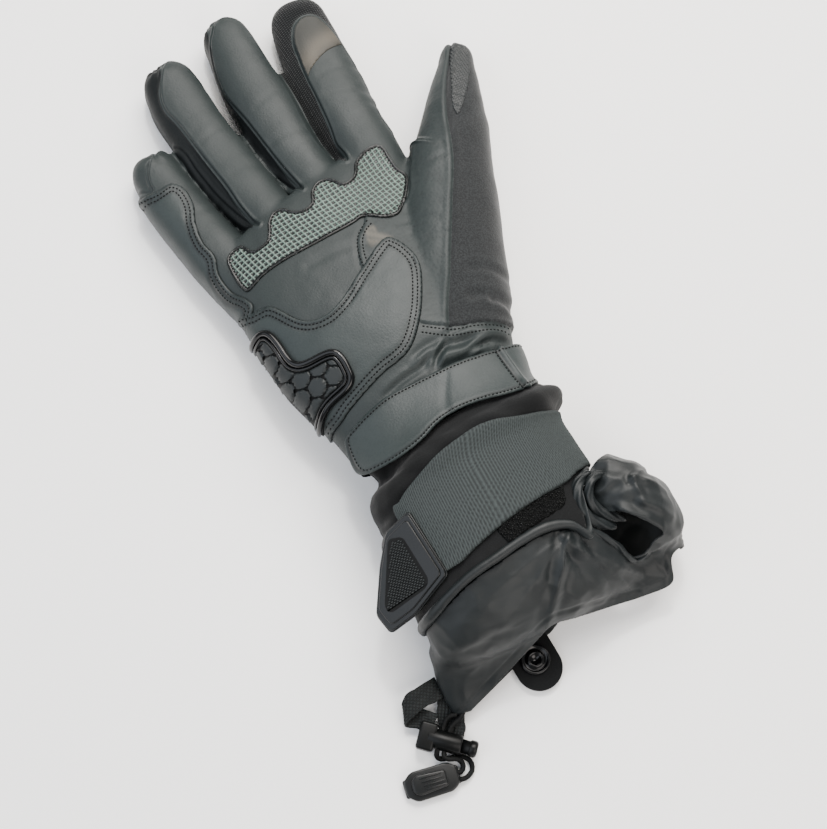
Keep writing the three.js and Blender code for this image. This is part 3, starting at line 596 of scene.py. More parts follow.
def raised(bm: BMesh, height: float) -> None:
    """Makes a flat shape a plate.

    Args:
        bm: The flat shape.
        height: How thick the plate is.
    """
    up = bmesh.ops.extrude_face_region(bm, geom=list(bm.faces))
    top = [v for v in up["geom"] if isinstance(v, bmesh.types.BMVert)]
    bmesh.ops.translate(bm, verts=top, vec=(0, 0, height))
    bmesh.ops.recalc_face_normals(bm, faces=bm.faces)


def finer_near(bm: BMesh, distance: Points, reach: float) -> None:
    """Halves the edges that lie near a line.

    Args:
        bm: The skin.
        distance: Each vertex's distance from the line.
        reach: How near an edge has to come.
    """
    bm.verts.index_update()
    near = [e for e in bm.edges if min(abs(distance[v.index]) for v in e.verts) < reach]
    bmesh.ops.subdivide_edges(bm, edges=near, cuts=1, use_grid_fill=True)
    bm.normal_update()


def cut_away(bm: BMesh, value: Points) -> None:
    """Cuts a skin along the line where value is 0 and removes what is below it.

    Args:
        bm: The skin.
        value: One value for each vertex.
    """
    layer = bm.verts.layers.float.new("cut")
    for v, x in zip(bm.verts, value):
        v[layer] = 0.0 if abs(x) < 0.06 else float(x)
    for e in list(bm.edges):
        a, b = (v[layer] for v in e.verts)
        if a * b < 0:
            _, fresh = bmesh.utils.edge_split(e, e.verts[0], a / (a - b))
            fresh[layer] = 0.0
    for f in list(bm.faces):
        signs = [v[layer] for v in f.verts]
        zero = [v for v in f.verts if v[layer] == 0.0]
        if min(signs) < 0 < max(signs) and len(zero) == 2:
            try:
                bmesh.utils.face_split(f, zero[0], zero[1])
            except ValueError:
                continue
    gone = [f for f in bm.faces if sum(v[layer] for v in f.verts) < 0]
    bmesh.ops.delete(bm, geom=gone, context="FACES")
    bm.verts.layers.float.remove(layer)
    bm.normal_update()


def paint(bm: BMesh, name: str, value: Points) -> None:
    """Keeps a number for each vertex, which a material can read.

    Args:
        bm: The mesh.
        name: The name that the material reads.
        value: One number for each vertex.
    """
    layer = bm.verts.layers.float.get(name) or bm.verts.layers.float.new(name)
    for v, x in zip(bm.verts, value):
        v[layer] = float(x)


def surface_of(bm: BMesh) -> BVHTree:
    """A skin to drop points onto."""
    return BVHTree.FromBMesh(bm)


def dropped(tree: BVHTree, x: float, y: float) -> tuple[Vector, Vector] | None:
    """The highest place of a skin over x and y, with its normal."""
    hit, normal, _, _ = tree.ray_cast(Vector((x, y, 200)), Vector((0, 0, -1)))
    return (hit, normal) if hit else None


def lifted_patch(
    skin: BMesh, outline: Outline, lift: float, thick: float, edge: float, floor: float = 2.0
) -> tuple[BMesh, Points]:
    """A patch sewn onto a skin.

    Args:
        skin: The skin that it lies on, which is left as it is.
        outline: The patch's outline seen from above.
        lift: The height of its edge over the skin.
        thick: How much further its middle stands out.
        edge: How wide its rounded edge is.
        floor: Nothing lower than this belongs to it.

    Returns:
        The patch's outer face, and each vertex's distance from its edge.
    """
    bm = skin.copy()
    ring = curve(outline, 1.0, closed=True)
    far = inside_distance(co_of(bm), ring)
    facing = normals_of(bm)[:, 2]
    value = np.minimum(far, np.where(facing > -0.2, 50.0, -50.0))
    value = np.minimum(value, co_of(bm)[:, 2] - floor)
    keep = {v.index for v, x in zip(bm.verts, value) if x > -3}
    bm.verts.index_update()
    gone = [f for f in bm.faces if not any(v.index in keep for v in f.verts)]
    bmesh.ops.delete(bm, geom=gone, context="FACES")
    far = inside_distance(co_of(bm), ring)
    facing = normals_of(bm)[:, 2]
    value = np.minimum(np.minimum(far, (facing + 0.2) * 20), co_of(bm)[:, 2] - floor)
    cut_away(bm, value)
    p = co_of(bm)
    far = inside_distance(p, ring)
    rise = lift + thick * np.sqrt(np.clip(1 - (1 - np.clip(far / edge, 0, 1)) ** 2, 0, 1))
    put(bm, p + normals_of(bm) * rise[:, None])
    return bm, far


def shifted(line: Points, offset: float) -> Points:
    """Moves an open line to its left, or a closed one inwards.

    Args:
        line: The line.
        offset: How far it moves.

    Returns:
        The moved line.
    """
    closed = np.allclose(line[0], line[-1], atol=2.0)
    ahead = np.gradient(line, axis=0)
    side = np.stack([-ahead[:, 1], ahead[:, 0]], axis=1)
    side /= np.maximum(np.linalg.norm(side, axis=1), 1e-9)[:, None]
    if closed:
        x, y = line[:, 0], line[:, 1]
        area = np.sum(x * np.roll(y, -1) - y * np.roll(x, -1))
        side *= 1 if area > 0 else -1
    return line + side * offset


def slab(outline: Outline, low: float, high: float, corner: float) -> BMesh:
    """A flat plate with rounded corners.

    Args:
        outline: Its outline seen from above.
        low: Its lower face.
        high: Its upper face.
        corner: The radius of its upright corners.

    Returns:
        The mesh.
    """
    bm = bmesh.new()
    bm.faces.new([bm.verts.new((x, y, low)) for x, y in outline])
    raised(bm, high - low)
    upright = [e for e in bm.edges if abs(e.verts[0].co.z - e.verts[1].co.z) > 0.1]
    bmesh.ops.bevel(bm, geom=upright, offset=corner, segments=5, profile=0.5, material=-1, affect="EDGES")
    return bm


def turned(profile: Sequence[tuple[float, float]], place: Matrix, steps: int = 48) -> BMesh:
    """A shape turned round its own Z axis.

    Args:
        profile: Radius and height, from the middle outwards.
        place: Where it goes.
        steps: Faces round it.

    Returns:
        The mesh.
    """
    bm = bmesh.new()
    verts = [bm.verts.new((r, 0, z)) for r, z in profile]
    edges = [bm.edges.new(pair) for pair in zip(verts[:-1], verts[1:])]
    bmesh.ops.spin(
        bm, geom=verts + edges, cent=(0, 0, 0), axis=(0, 0, 1), angle=2 * math.pi, steps=steps, use_merge=True
    )
    bmesh.ops.remove_doubles(bm, verts=bm.verts, dist=0.02)
    bmesh.ops.recalc_face_normals(bm, faces=bm.faces)
    bm.transform(place)
    return bm


# Materials.


class Pattern(Enum):
    """How a finish's surface was made."""

    GRAIN = "leather grain"
    PLAIN_WEAVE = "plain weave"
    KNIT = "knit"
    RIBBED = "ribbed elastic"
    MOULDED = "moulded"
    HOOKS = "hook tape"
    HEATHER = "mixed yarns"
    THREAD = "thread"


@dataclass(frozen=True)
class Finish:
    """One material: colours as sRGB hex, sizes in millimetres.

    Attributes:
        name: The real material's name.
        slot: The record's material slot; not used.
        colour: Its main colour.
        shade: The colour painted into its pores, valleys or yarn gaps, as shade.
        pale: The colour that rubbing and light dust give it.
        rough: Its roughness.
        pitch: The size of one grain, thread or rib.
        relief: The depth of that pattern.
        pattern: How the surface was made.
        coat: A glossy top layer, from 0 to 1.
        sheen: The soft halo of fibres, from 0 to 1.
        wear: How much the pale colour shows.
        gaps: How much painted shade the pattern's gaps get.
        gloss: The strength of its mirror reflection, 0.5 for most materials.
    """

    name: str
    slot: str
    colour: str
    shade: str
    pale: str
    rough: float
    pitch: float
    relief: float
    pattern: Pattern
    coat: float = 0.0
    sheen: float = 0.0
    wear: float = 0.35
    gaps: float = 0.5
    gloss: float = 0.5

    def build(self) -> bpy.types.Material:
        """Makes the material.

        Returns:
            The material, which reads Object coordinates.
        """
        made = bpy.data.materials.get(self.name)
        if made:
            return made
        mat = bpy.data.materials.new(self.name)
        mat.use_nodes = True
        tree = mat.node_tree
        tree.nodes.clear()
        out = add_node(tree, "ShaderNodeOutputMaterial")
        coords = add_node(tree, "ShaderNodeTexCoord").outputs["Object"]
        height, gaps = self.relief_nodes(tree, coords)
        blotch = add_node(
            tree, "ShaderNodeTexNoise", {"Scale": 28.0, "Detail": 4.0, "Roughness": 0.6}, {"Vector": coords}
        )
        broad = add_node(
            tree, "ShaderNodeMapRange",
            {"From Min": 0.42, "From Max": 0.72, "To Min": 0.0, "To Max": self.wear},
            {"Value": blotch.outputs["Fac"]},
        )
        base = add_node(
            tree, "ShaderNodeMix", {"A": linear(self.colour), "B": linear(self.pale)},
            {"Factor": broad.outputs["Result"]}, {"data_type": "RGBA"},
        )
        # Painted shade: the shade colour is mixed in wherever the pattern sinks into a gap.
        dark = add_node(
            tree, "ShaderNodeMix", {"B": linear(self.shade)},
            {"Factor": gaps, "A": base.outputs[2]}, {"data_type": "RGBA"},
        )
        rub = add_node(
            tree, "ShaderNodeMapRange",
            {"From Min": 0.3, "From Max": 0.75, "To Min": self.rough - 0.07, "To Max": self.rough + 0.09},
            {"Value": blotch.outputs["Fac"]},
        )
        bump = add_node(
            tree, "ShaderNodeBump", {"Strength": 1.0, "Distance": self.relief / 1000.0}, {"Height": height}
        )
        principled = {
            "Sheen Weight": self.sheen, "Sheen Roughness": 0.5,
            "Coat Weight": self.coat, "Coat Roughness": 0.12, "Specular IOR Level": self.gloss,
        }
        shader = add_node(
            tree, "ShaderNodeBsdfPrincipled", principled,
            {
                "Base Color": dark.outputs[2], "Roughness": rub.outputs["Result"],
                "Normal": bump.outputs["Normal"]
            },
        )
        tree.links.new(shader.outputs["BSDF"], out.inputs["Surface"])
        return mat

    def relief_nodes(
        self, tree: bpy.types.NodeTree, coords: bpy.types.NodeSocket
    ) -> tuple[bpy.types.NodeSocket, bpy.types.NodeSocket]:
        """Adds the nodes of the finish's pattern.

        Args:
            tree: The material's nodes.
            coords: The coordinates to read, in metres.

        Returns:
            The pattern's height and how far a place lies in a gap, both from 0 to 1.
        """
        per_metre = 1000.0 / self.pitch
        if self.pattern in (Pattern.PLAIN_WEAVE, Pattern.KNIT, Pattern.RIBBED):
            turns = {Pattern.RIBBED: ((math.pi / 2, 1.0), (0.0, 1.0)), Pattern.KNIT: ((0.5, 1.0), (1.1, 0.6))}
            bands = []
            for turn, share in turns.get(self.pattern, ((0.6, 1.0), (0.6 + math.pi / 2, 1.0))):
                spun = add_node(tree, "ShaderNodeMapping", {"Rotation": (0.0, 0.0, turn)}, {"Vector": coords})
                settings = {
                    "Scale": per_metre * share * math.pi / 10, "Distortion": 0.8, "Detail": 1.0,
                    "Detail Scale": 2.0
                }
                wave = add_node(tree, "ShaderNodeTexWave", settings, {"Vector": spun.outputs["Vector"]})
                bands.append(wave.outputs["Fac"])
            height = add_node(
                tree, "ShaderNodeMath", {}, {0: bands[0], 1: bands[1]}, {"operation": "MULTIPLY"}
            ).outputs[0]
            low, high = 0.4, 0.02
        elif self.pattern is Pattern.HOOKS:
            height = add_node(
                tree, "ShaderNodeTexVoronoi", {"Scale": per_metre}, {"Vector": coords}
            ).outputs["Distance"]
            low, high = 0.5, 0.15
        elif self.pattern is Pattern.GRAIN:
            smooth = {"feature": "SMOOTH_F1"}
            cells = add_node(tree, "ShaderNodeTexVoronoi", {"Scale": per_metre}, {"Vector": coords}, smooth)
            fine = add_node(
                tree, "ShaderNodeTexNoise", {"Scale": per_metre * 0.3, "Detail": 4.0}, {"Vector": coords}
            )
            height = add_node(
                tree, "ShaderNodeMath", {}, {0: cells.outputs["Distance"], 1: fine.outputs["Fac"]},
                {"operation": "ADD"}
            ).outputs[0]
            low, high = 0.95, 0.55
        else:
            fine = add_node(
                tree, "ShaderNodeTexNoise", {"Scale": per_metre, "Detail": 3.0}, {"Vector": coords}
            )
            height = fine.outputs["Fac"]
            low, high = (0.6, 0.4) if self.pattern is Pattern.HEATHER else (0.5, 0.2)
        gap = add_node(
            tree, "ShaderNodeMapRange",
            {"From Min": high, "From Max": low, "To Min": self.gaps, "To Max": 0.0},
            {"Value": height},
        )
        return height, gap.outputs["Result"]


def linear(hex_colour: str) -> tuple[float, float, float, float]:
    """Turns an sRGB hex colour such as '#404648' into linear red, green, blue and alpha."""
    parts = [int(hex_colour[i : i + 2], 16) / 255 for i in (1, 3, 5)]
    return (*(c / 12.92 if c <= 0.04045 else ((c + 0.055) / 1.055) ** 2.4 for c in parts), 1.0)


def add_node(
    tree: bpy.types.NodeTree, kind: str, settings: dict | None = None, links: dict | None = None,
    options: dict | None = None
) -> bpy.types.Node:
    """Adds a node.

    Args:
        tree: The material's nodes.
        kind: The node's type name.
        settings: Socket name or number to its value.
        links: Socket name or number to the output that feeds it.
        options: The node's own properties.

    Returns:
        The node.
    """
    node = tree.nodes.new(kind)
    for name, value in (options or {}).items():
        setattr(node, name, value)
    by_name = {}
    for socket in node.inputs:
        if socket.enabled:
            by_name.setdefault(socket.name, socket)
    for name, value in (settings or {}).items():
        (node.inputs[name] if isinstance(name, int) else by_name[name]).default_value = value
    for name, source in (links or {}).items():
        tree.links.new(source, node.inputs[name] if isinstance(name, int) else by_name[name])
    return node


def tint_by(mat: bpy.types.Material, attribute: str, colour: str, share: float) -> None:
    """Turns a material towards another colour where a piece's own attribute is high.

    Args:
        mat: The material.
        attribute: The attribute's name.
        colour: The other colour.
        share: How far it turns, from 0 to 1.
    """
    tree = mat.node_tree
    shader = next(n for n in tree.nodes if n.type == "BSDF_PRINCIPLED")
    before = shader.inputs["Base Color"].links[0].from_socket
    read = add_node(tree, "ShaderNodeAttribute", options={"attribute_name": attribute})
    scaled = add_node(tree, "ShaderNodeMath", {1: share}, {0: read.outputs["Fac"]}, {"operation": "MULTIPLY"})
    mix = add_node(
        tree, "ShaderNodeMix", {"B": linear(colour)}, {"Factor": scaled.outputs[0], "A": before},
        {"data_type": "RGBA"}
    )
    tree.links.new(mix.outputs[2], shader.inputs["Base Color"])


# Drum-dyed goat leather: a soft satin with fine pores, a little paler where it has been rubbed. Its grain
# of about half a millimetre is too fine to show, so it is drawn at 0.9 mm.
LEATHER = Finish(
    "goat leather", "leather", "#1f2525", "#15191a", "#272d2c", 0.55, 0.9, 0.05, Pattern.GRAIN,
    gaps=0.22, gloss=0.28,
)
# The overlays' leather: the same hide, with painted shade in the furrows that the stitches draw and along its
# edges.
SEWN_LEATHER = Finish(
    "stitched goat leather", "leather", "#212828", "#15191a", "#2b3232", 0.5, 0.9, 0.05, Pattern.GRAIN,
    wear=0.4, gaps=0.22, gloss=0.3,
)
# Softer leather of the thumb's left half, with a more open grain.
THUMB_LEATHER = Finish(
    "grained goat leather", "leather", "#212727", "#121516", "#2a302f", 0.56, 1.5, 0.1, Pattern.GRAIN,
    wear=0.25, gaps=0.3, gloss=0.26,
)
# Brushed touch leather: duller and browner than the rest.
TOUCH_LEATHER = Finish(
    "brushed touch leather", "worn_leather", "#262724", "#1c1c1b", "#33312c", 0.62, 0.7, 0.04,
    Pattern.GRAIN, wear=0.4, gaps=0.2, gloss=0.3,
)
# Thin sheep leather for the strips between the fingers, with a low sheen: a little darker than the hand's
# leather, and coloured nearly black as painted shade of the hollows between the fingers.
SHADED_GUSSET_LEATHER = Finish(
    "gusset leather", "gusset", "#0f1213", "#07090a", "#191d1e", 0.6, 0.9, 0.05, Pattern.GRAIN, gaps=0.2,
    gloss=0.14,
)
# Bonded softshell of dyed and undyed yarns: matte, and finely heathered, with the yarns drawn at 0.7 mm,
# because real ones of about 0.3 mm don't show.
SOFTSHELL = Finish(
    "heathered softshell", "softshell", "#232526", "#111213", "#2f3233", 0.92, 0.7, 0.15, Pattern.HEATHER,
    sheen=0.15, wear=0.4, gaps=0.7, gloss=0.2,
)
# The cuff's plain softshell: black and dull.
CUFF_SHELL = Finish(
    "plain softshell", "softshell", "#0b0c0d", "#060707", "#131516", 0.9, 0.7, 0.1, Pattern.HEATHER,
    sheen=0.08, gloss=0.17,
)
# Coated leather pressed to a fine open weave: silvery green threads over pits, which are painted near black
# as shade.
BASKET = Finish(
    "pressed weave leather", "embossed", "#55665e", "#35403c", "#76897f", 0.36, 0.5, 0.03,
    Pattern.MOULDED, gaps=0.3, gloss=0.4,
)
# Woven elastic: dull cords that run along the glove, crossed by the weft.
ELASTIC = Finish(
    "woven elastic", "elastic", "#353b3b", "#101213", "#3d4343", 0.8, 1.1, 0.1, Pattern.MOULDED, gaps=0.4,
    gloss=0.2,
)
# Braided polyester sleeve of the drawcord.
BRAID = Finish(
    "braided cord", "elastic", "#070808", "#030303", "#111314", 0.6, 0.9, 0.1, Pattern.KNIT, gaps=0.4,
    gloss=0.13,
)
# Ribbed knit of the strip beside the index finger.
KNIT = Finish(
    "ribbed knit", "gusset", "#121516", "#040505", "#1e2223", 0.88, 1.1, 0.35, Pattern.RIBBED, sheen=0.1,
    gaps=0.8, gloss=0.15,
)
# Calendered nylon taffeta: thin, with a soft slate shine. Its threads are too fine to show, so what is
# drawn is 0.45 mm across.
NYLON = Finish(
    "nylon taffeta", "nylon", "#101415", "#090b0c", "#1b2022", 0.5, 0.45, 0.01, Pattern.MOULDED, wear=0.5,
    gaps=0.2, gloss=0.28,
)
# Hook tape: a bed of stiff hooks that swallows the light.
HOOK_TAPE = Finish(
    "hook tape", "hook", "#070808", "#020202", "#101213", 0.7, 0.8, 0.5, Pattern.HOOKS, gaps=0.8,
    gloss=0.1,
)
# The tape's nylon fibres, which catch small glints.
FIBRE = Finish(
    "nylon fibre", "hook", "#060707", "#030303", "#131617", 0.3, 0.5, 0.01, Pattern.MOULDED, wear=0.5,
    gloss=0.25,
)
# Injection-moulded rubber with a gloss on its rim.
GLOSS_RUBBER = Finish(
    "gloss moulded rubber", "rubber", "#070809", "#050505", "#0c0e0f", 0.12, 1.5, 0.01, Pattern.MOULDED,
    gloss=0.28,
)
# The floor between the hexagons, also the tab's inset under its lozenges: the same rubber, unpolished, and
# coloured near black as painted shade of the narrow grooves.
SHADED_GROOVE_RUBBER = Finish(
    "unpolished rubber", "rubber", "#050606", "#030303", "#090a0b", 0.7, 1.0, 0.02, Pattern.MOULDED,
    gloss=0.2,
)
# The hexagons: the same rubber with a dull etched top.
DULL_RUBBER = Finish(
    "etched moulded rubber", "rubber", "#171b1c", "#0f1213", "#1f2425", 0.5, 0.5, 0.02, Pattern.MOULDED,
    gloss=0.28,
)
# Printed grip on the thumb's end: soft and dull.
GRIP_RUBBER = Finish(
    "soft grip print", "rubber", "#15191a", "#0b0d0e", "#1e2324", 0.55, 0.6, 0.02, Pattern.MOULDED,
    gloss=0.4,
)
# Acetal of the tab, the lock and the pull: black, with a spark-eroded texture that is drawn coarser.
ACETAL = Finish(
    "acetal", "plastic", "#080a0a", "#050606", "#0f1213", 0.34, 0.5, 0.015, Pattern.MOULDED, gloss=0.3,
)
# The lock's acetal: the same, but blacker and duller.
DARK_ACETAL = Finish(
    "black acetal", "plastic", "#050606", "#030303", "#0a0c0c", 0.38, 0.5, 0.015, Pattern.MOULDED,
    gloss=0.17,
)
# Woven tape of the loop: dark grey ribs over black gaps.
TAPE = Finish(
    "woven tape", "elastic", "#171b1b", "#050606", "#222727", 0.6, 1.4, 0.15, Pattern.PLAIN_WEAVE,
    gaps=0.9, gloss=0.2,
)
# Waxed polyester sewing thread: dark, and coloured near black as painted shade of the holes that it sinks
# into, so darker than the furrows that it lies in.
THREAD = Finish(
    "sewing thread", "leather", "#090b0b", "#050606", "#161a1a", 0.7, 0.5, 0.03, Pattern.THREAD,
    gloss=0.12,
)


def finish_piece(
    bm: BMesh, name: str, finish: Finish, body: str = "glove", stands_for: Sequence[str] = (),
    wall: float = 0.0, bevel: float = 0.0,
) -> bpy.types.Object:
    """Turns a mesh in millimetres into a finished piece of the model.

    Args:
        bm: The mesh, which is freed.
        name: The piece's name.
        finish: Its material.
        body: The body that it moves with.
        stands_for: The solids that it replaces.
        wall: Thickness that an open skin gets on its inner side, in millimetres.
        bevel: The size of its rounded edges, in millimetres.

    Returns:
        The piece.
    """
    bm.transform(TO_FRAME)
    mesh = bpy.data.meshes.new(name)
    bm.to_mesh(mesh)
    bm.free()
    mesh.shade_smooth()
    mesh.materials.append(finish.build())
    obj = bpy.data.objects.new(name, mesh)
    bpy.context.scene.collection.objects.link(obj)
    if wall:
        shell = obj.modifiers.new("wall", "SOLIDIFY")
        shell.thickness = wall / 1000
        shell.offset = -1.0
    if bevel:
        mesh.shade_flat()
        soft = obj.modifiers.new("edges", "BEVEL")
        soft.width = bevel / 1000
        soft.segments = 3
        soft.limit_method = "ANGLE"
        soft.angle_limit = math.radians(30)
        soft.harden_normals = True
        mesh.shade_smooth()
    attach(obj, body)
    if stands_for:
        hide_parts(*stands_for)
    LOG.info("%s: %d faces", name, len(mesh.polygons))
    return obj


@dataclass
class Stitching:
    """A set of stitches, gathered line by line and made as one piece.

    Attributes:
        name: The piece's name.
        places: The stitches' places so far.
    """

    name: str
    places: list[Matrix] = field(default_factory=list)

    def sew(
        self, line: Points, tree: BVHTree, pitch: float = 1.65, long: float = 1.15, thick: float = 0.74
    ) -> None:
        """Adds a row of stitches.

        Args:
            line: Where the row runs, seen from above.
            tree: The surface that it is sewn on.
            pitch: From one stitch to the next.
            long: The length of one stitch.
            thick: The thickness of the thread.
        """
        row = curve([tuple(p) for p in line], pitch)
        for a, b in zip(row[:-1], row[1:]):
            found = dropped(tree, *((a + b) / 2))
            if not found or found[1].z < 0.12:
                continue
            place, up = found
            ahead = Vector((*(b - a), 0))
            ahead = (ahead - up * ahead.dot(up)).normalized()
            side = up.cross(ahead)
            turn = Matrix((ahead * long / 2, side * thick / 2, up * thick / 2)).transposed().to_4x4()
            self.places.append(Matrix.Translation(place + up * 0.05) @ turn)

    def build(self) -> None:
        """Makes all the stitches as one piece."""
        one = bmesh.new()
        bmesh.ops.create_uvsphere(
            one, u_segments=6, v_segments=4, radius=1.0, matrix=Matrix.Rotation(math.pi / 2, 4, "Y")
        )
        finish_piece(copied(one, self.places), self.name, THREAD)


# The glove's parts.


@dataclass
class Hand:
    """The leather hand with its fingers and thumb, and all that is sewn onto it.

    Attributes:
        voxel: The size of the skin's faces.
        tile_pitch: From one hexagon of the slider to the next.
        tile_gap: Between two hexagons.
        tile_start: The middle of the hexagon that the others are counted from.
        stitches: The stitches on the hand.
    """

    voxel: float = 1.2
    tile_pitch: float = 8.2
    tile_gap: float = 0.45
    tile_start: tuple[float, float] = (-39.8, 38.8)
    stitches: Stitching = field(default_factory=lambda: Stitching("palm_stitches"))

    def build(self) -> None:
        """Makes every piece of the hand."""
        skin = self.skin()
        self.panels(skin)
        self.lining()
        over = self.overlays(skin)
        self.slider(over)
        self.tips(skin)
        self.stitches.build()
        skin.free()

    def skin(self) -> BMesh:
        """Makes the whole outer skin, with its seams sunk in and its soft folds.

        Returns:
            The skin.
        """
        parts = [tube_mesh(HAND, 96, 60, caps=(4, 4))]
        parts += [tube_mesh(rows, 64, 80, caps=(5, 12)) for rows in FINGERS.values()]
        parts.append(tube_mesh(THUMB, 72, 90, caps=(5, 11)))
        bm = fused(parts, self.voxel)
        relaxed(bm, 4)
        put(bm, on_table(co_of(bm), 0.8))
        edge = inside_distance(co_of(bm), curve(FRONT_PANELS, 1.0, closed=True))
        welt, _ = line_distance(co_of(bm), curve(THUMB_SEAM, 1.0))
        seen = step_up(normals_of(bm)[:, 2], -0.5, 0.1)
        seam = np.minimum(np.abs(edge), np.abs(welt)) + (1 - seen) * 20
        finer_near(bm, seam, 2.4)
        self.shape(bm)
        return bm

    def shape(self, bm: BMesh) -> None:
        """Sinks the seams and adds puckers, gathers and creases.

        Args:
            bm: The skin.
        """
        p, n = co_of(bm), normals_of(bm)
        seen = step_up(n[:, 2], -0.45, 0.1)
        edge = inside_distance(p, curve(FRONT_PANELS, 1.0, closed=True))
        thumb, _ = line_distance(p, curve(THUMB_SEAM, 1.0))
        root, _ = line_distance(p, curve(THUMB_WELT, 1.0))
        bare = 1 - step_up(inside_distance(p, curve(PALM_OVERLAY, 1.0, closed=True)), -0.4, 0.6)
        rise = 0.5 * ripple(p, 30, 3, 1) + 0.1 * ripple(p, 9, 3, 2)
        fingers = step_up(p[:, 1], 98, 108)
        rise += seen * fingers * (0.5 * step_up(edge, 0.0, 1.4) - 1.1 * step_up(-edge, 0.0, 2.6))
        lip = 0.25 + 0.6 * (1 - step_up(p[:, 1], 114, 132))
        rise += seen * fingers * (lip * bell(edge - 0.7, 0.6) - 0.7 * bell(edge + 0.3, 0.5))
        rise -= seen * 0.7 * bell(thumb, 0.7) * step_up(p[:, 1], 14, 22)
        rise += seen * 0.45 * bell(np.abs(thumb) - 2.2, 1.4) * step_up(p[:, 1], 14, 22)
        rise += seen * bare * (0.6 * bell(root - 1.0, 0.9) - 0.8 * bell(root, 0.7)) * (1 - fingers)
        rise += self.gathers(p) * seen
        put(bm, p + n * rise[:, None])
        # A worn spot on the thumb's leather, paler and browner.
        paler_spot = inside_distance(p, curve(WORN_SPOT, 0.7, closed=True)) + 0.5 * ripple(p, 2.5, 2, 41)
        paint(bm, "paler_spot", step_up(paler_spot, -0.5, 1.0) * (0.75 + 0.25 * np.sin(1.3 * (p[:, 0] + p[:, 1]))))

    def gathers(self, p: Points) -> Points:
        """How far the gathers at the wrist and the creases over the fingers lift each point.

        Args:
            p: The points.

        Returns:
            One height for each point.
        """
        x, y = p[:, 0], p[:, 1]
        lower = y + 0.24 * (x - 35)
        band = step_up(y, -4, 1) * (1 - step_up(lower, 10.5, 14.5)) * step_up(x, -2, 14)
        rise = np.zeros(len(p))
        for x0, y0, x1, y1, high, wide in WRIST_FOLDS:
            d, along = line_distance(
                p, curve(((x0, y0), ((x0 + x1) / 2, (y0 + y1) / 2 + 1.0), (x1, y1)), 1.0)
            )
            fade = np.sin(math.pi * np.clip(along / math.hypot(x1 - x0, y1 - y0), 0.02, 0.98)) ** 0.6
            rise += high * fade * (bell(d, wide) - 0.6 * bell(np.abs(d) - 2 * wide, wide * 0.8))
        rise += 0.35 * band * ripple(p * (0.6, 1.3, 1), 7, 2, 5)
        shirred = step_up(x, -8, -2) * (1 - step_up(x, 22, 28)) * bell(y - 3.4 - 0.1 * x, 1.6)
        rise += 0.35 * shirred * np.sin(x * 2.5)
        for x0, y0, x1, y1, deep, wide in CREASES:
            d, _ = line_distance(
                p, curve(((x0, y0), ((x0 + x1) / 2 + 0.8, (y0 + y1) / 2 + 1.2), (x1, y1)), 1.5)
            )
            rise -= deep * bell(d, wide)
            rise += 0.45 * deep * bell(np.abs(d) - wide * 2, wide * 1.2)
        for tip_x, tip_y in ((-41, 165), (-21, 204), (10.5, 212)):
            away = np.hypot(x - tip_x, y - tip_y)
            rise += 0.45 * np.sin(5 * np.arctan2(y - tip_y, x - tip_x)) * bell(away, 6) * step_up(away, 0, 3)
            rise -= 0.7 * bell(away, 1.8)
        return rise

    def panels(self, skin: BMesh) -> None:
        """Cuts the skin into its leather, softshell, knit and gusset panels.

        Args:
            skin: The whole skin, which stays as it is.
        """
        p = co_of(skin)
        thumb, _ = line_distance(p, curve(THUMB_SEAM, 1.0))
        low_root, _ = line_distance(
            p, curve(((0, 40), (22, 26), (28, 20.5), (33, 18), (42, 15), (50, 12), (56, 9), (90, -6)), 1.0)
        )
        shell_side = np.minimum(thumb, low_root)
        gussets = {name: self.side_strip(p, name) for name in SIDE_PANELS}
        welt, _ = line_distance(p, curve(THUMB_WELT, 1.0))
        thumb_side = np.minimum(np.minimum(welt, -shell_side), p[:, 1] - 16)
        rest = np.minimum(np.minimum(p[:, 1] - HAND_END, -shell_side), -thumb_side)
        for value in gussets.values():
            rest = np.minimum(rest, -value)
        fingers = ("finger_little", "finger_ring", "finger_middle", "finger_index")
        for name, value, finish, nodes in (
            ("hand_leather", rest, LEATHER, ("hand_shell", *fingers)),
            ("thumb_leather_panel", thumb_side, THUMB_LEATHER, ("thumb_leather",)),
            ("thumb_softshell", shell_side, SOFTSHELL, ("thumb_fabric",)),
            ("ring_gusset", gussets["ring"], SHADED_GUSSET_LEATHER, ("side_panel_ring",)),
            ("middle_gusset", gussets["middle"], SHADED_GUSSET_LEATHER, ("side_panel_middle",)),
            ("index_knit", gussets["index"], KNIT, ("side_panel_index",)),
        ):
            piece = skin.copy()
            cut_away(piece, value)
            if name == "hand_leather":
                self.sew_edges(skin)
            finish_piece(piece, name, finish, stands_for=nodes)
        tint_by(bpy.data.materials[THUMB_LEATHER.name], "paler_spot", "#5f5a51", 0.6)

    def side_strip(self, p: Points, name: str) -> Points:
        """How far each point is inside the strip along a finger's left side.

        Args:
            p: The points.
            name: The finger's name.

        Returns:
            One distance for each point, below 0 outside the strip.
        """
        inside = inside_distance(p, curve(SIDE_PANELS[name], 1.0, closed=True))
        off = {}
        for finger, rows in FINGERS.items():
            spine = [(ring.x, ring.y) for ring in rows] + [(rows[-1].x, rows[-1].y + 20)]
            off[finger] = np.abs(line_distance(p, curve(spine, 2.0))[0]) / rows[-1].wide
        others = np.min([away for finger, away in off.items() if finger != name], axis=0)
        own = 12 * (others - off[name]) + 40 * (1 - step_up(p[:, 1], 120, 135))
        return np.minimum(np.minimum(inside, p[:, 2] - 4.0), own)

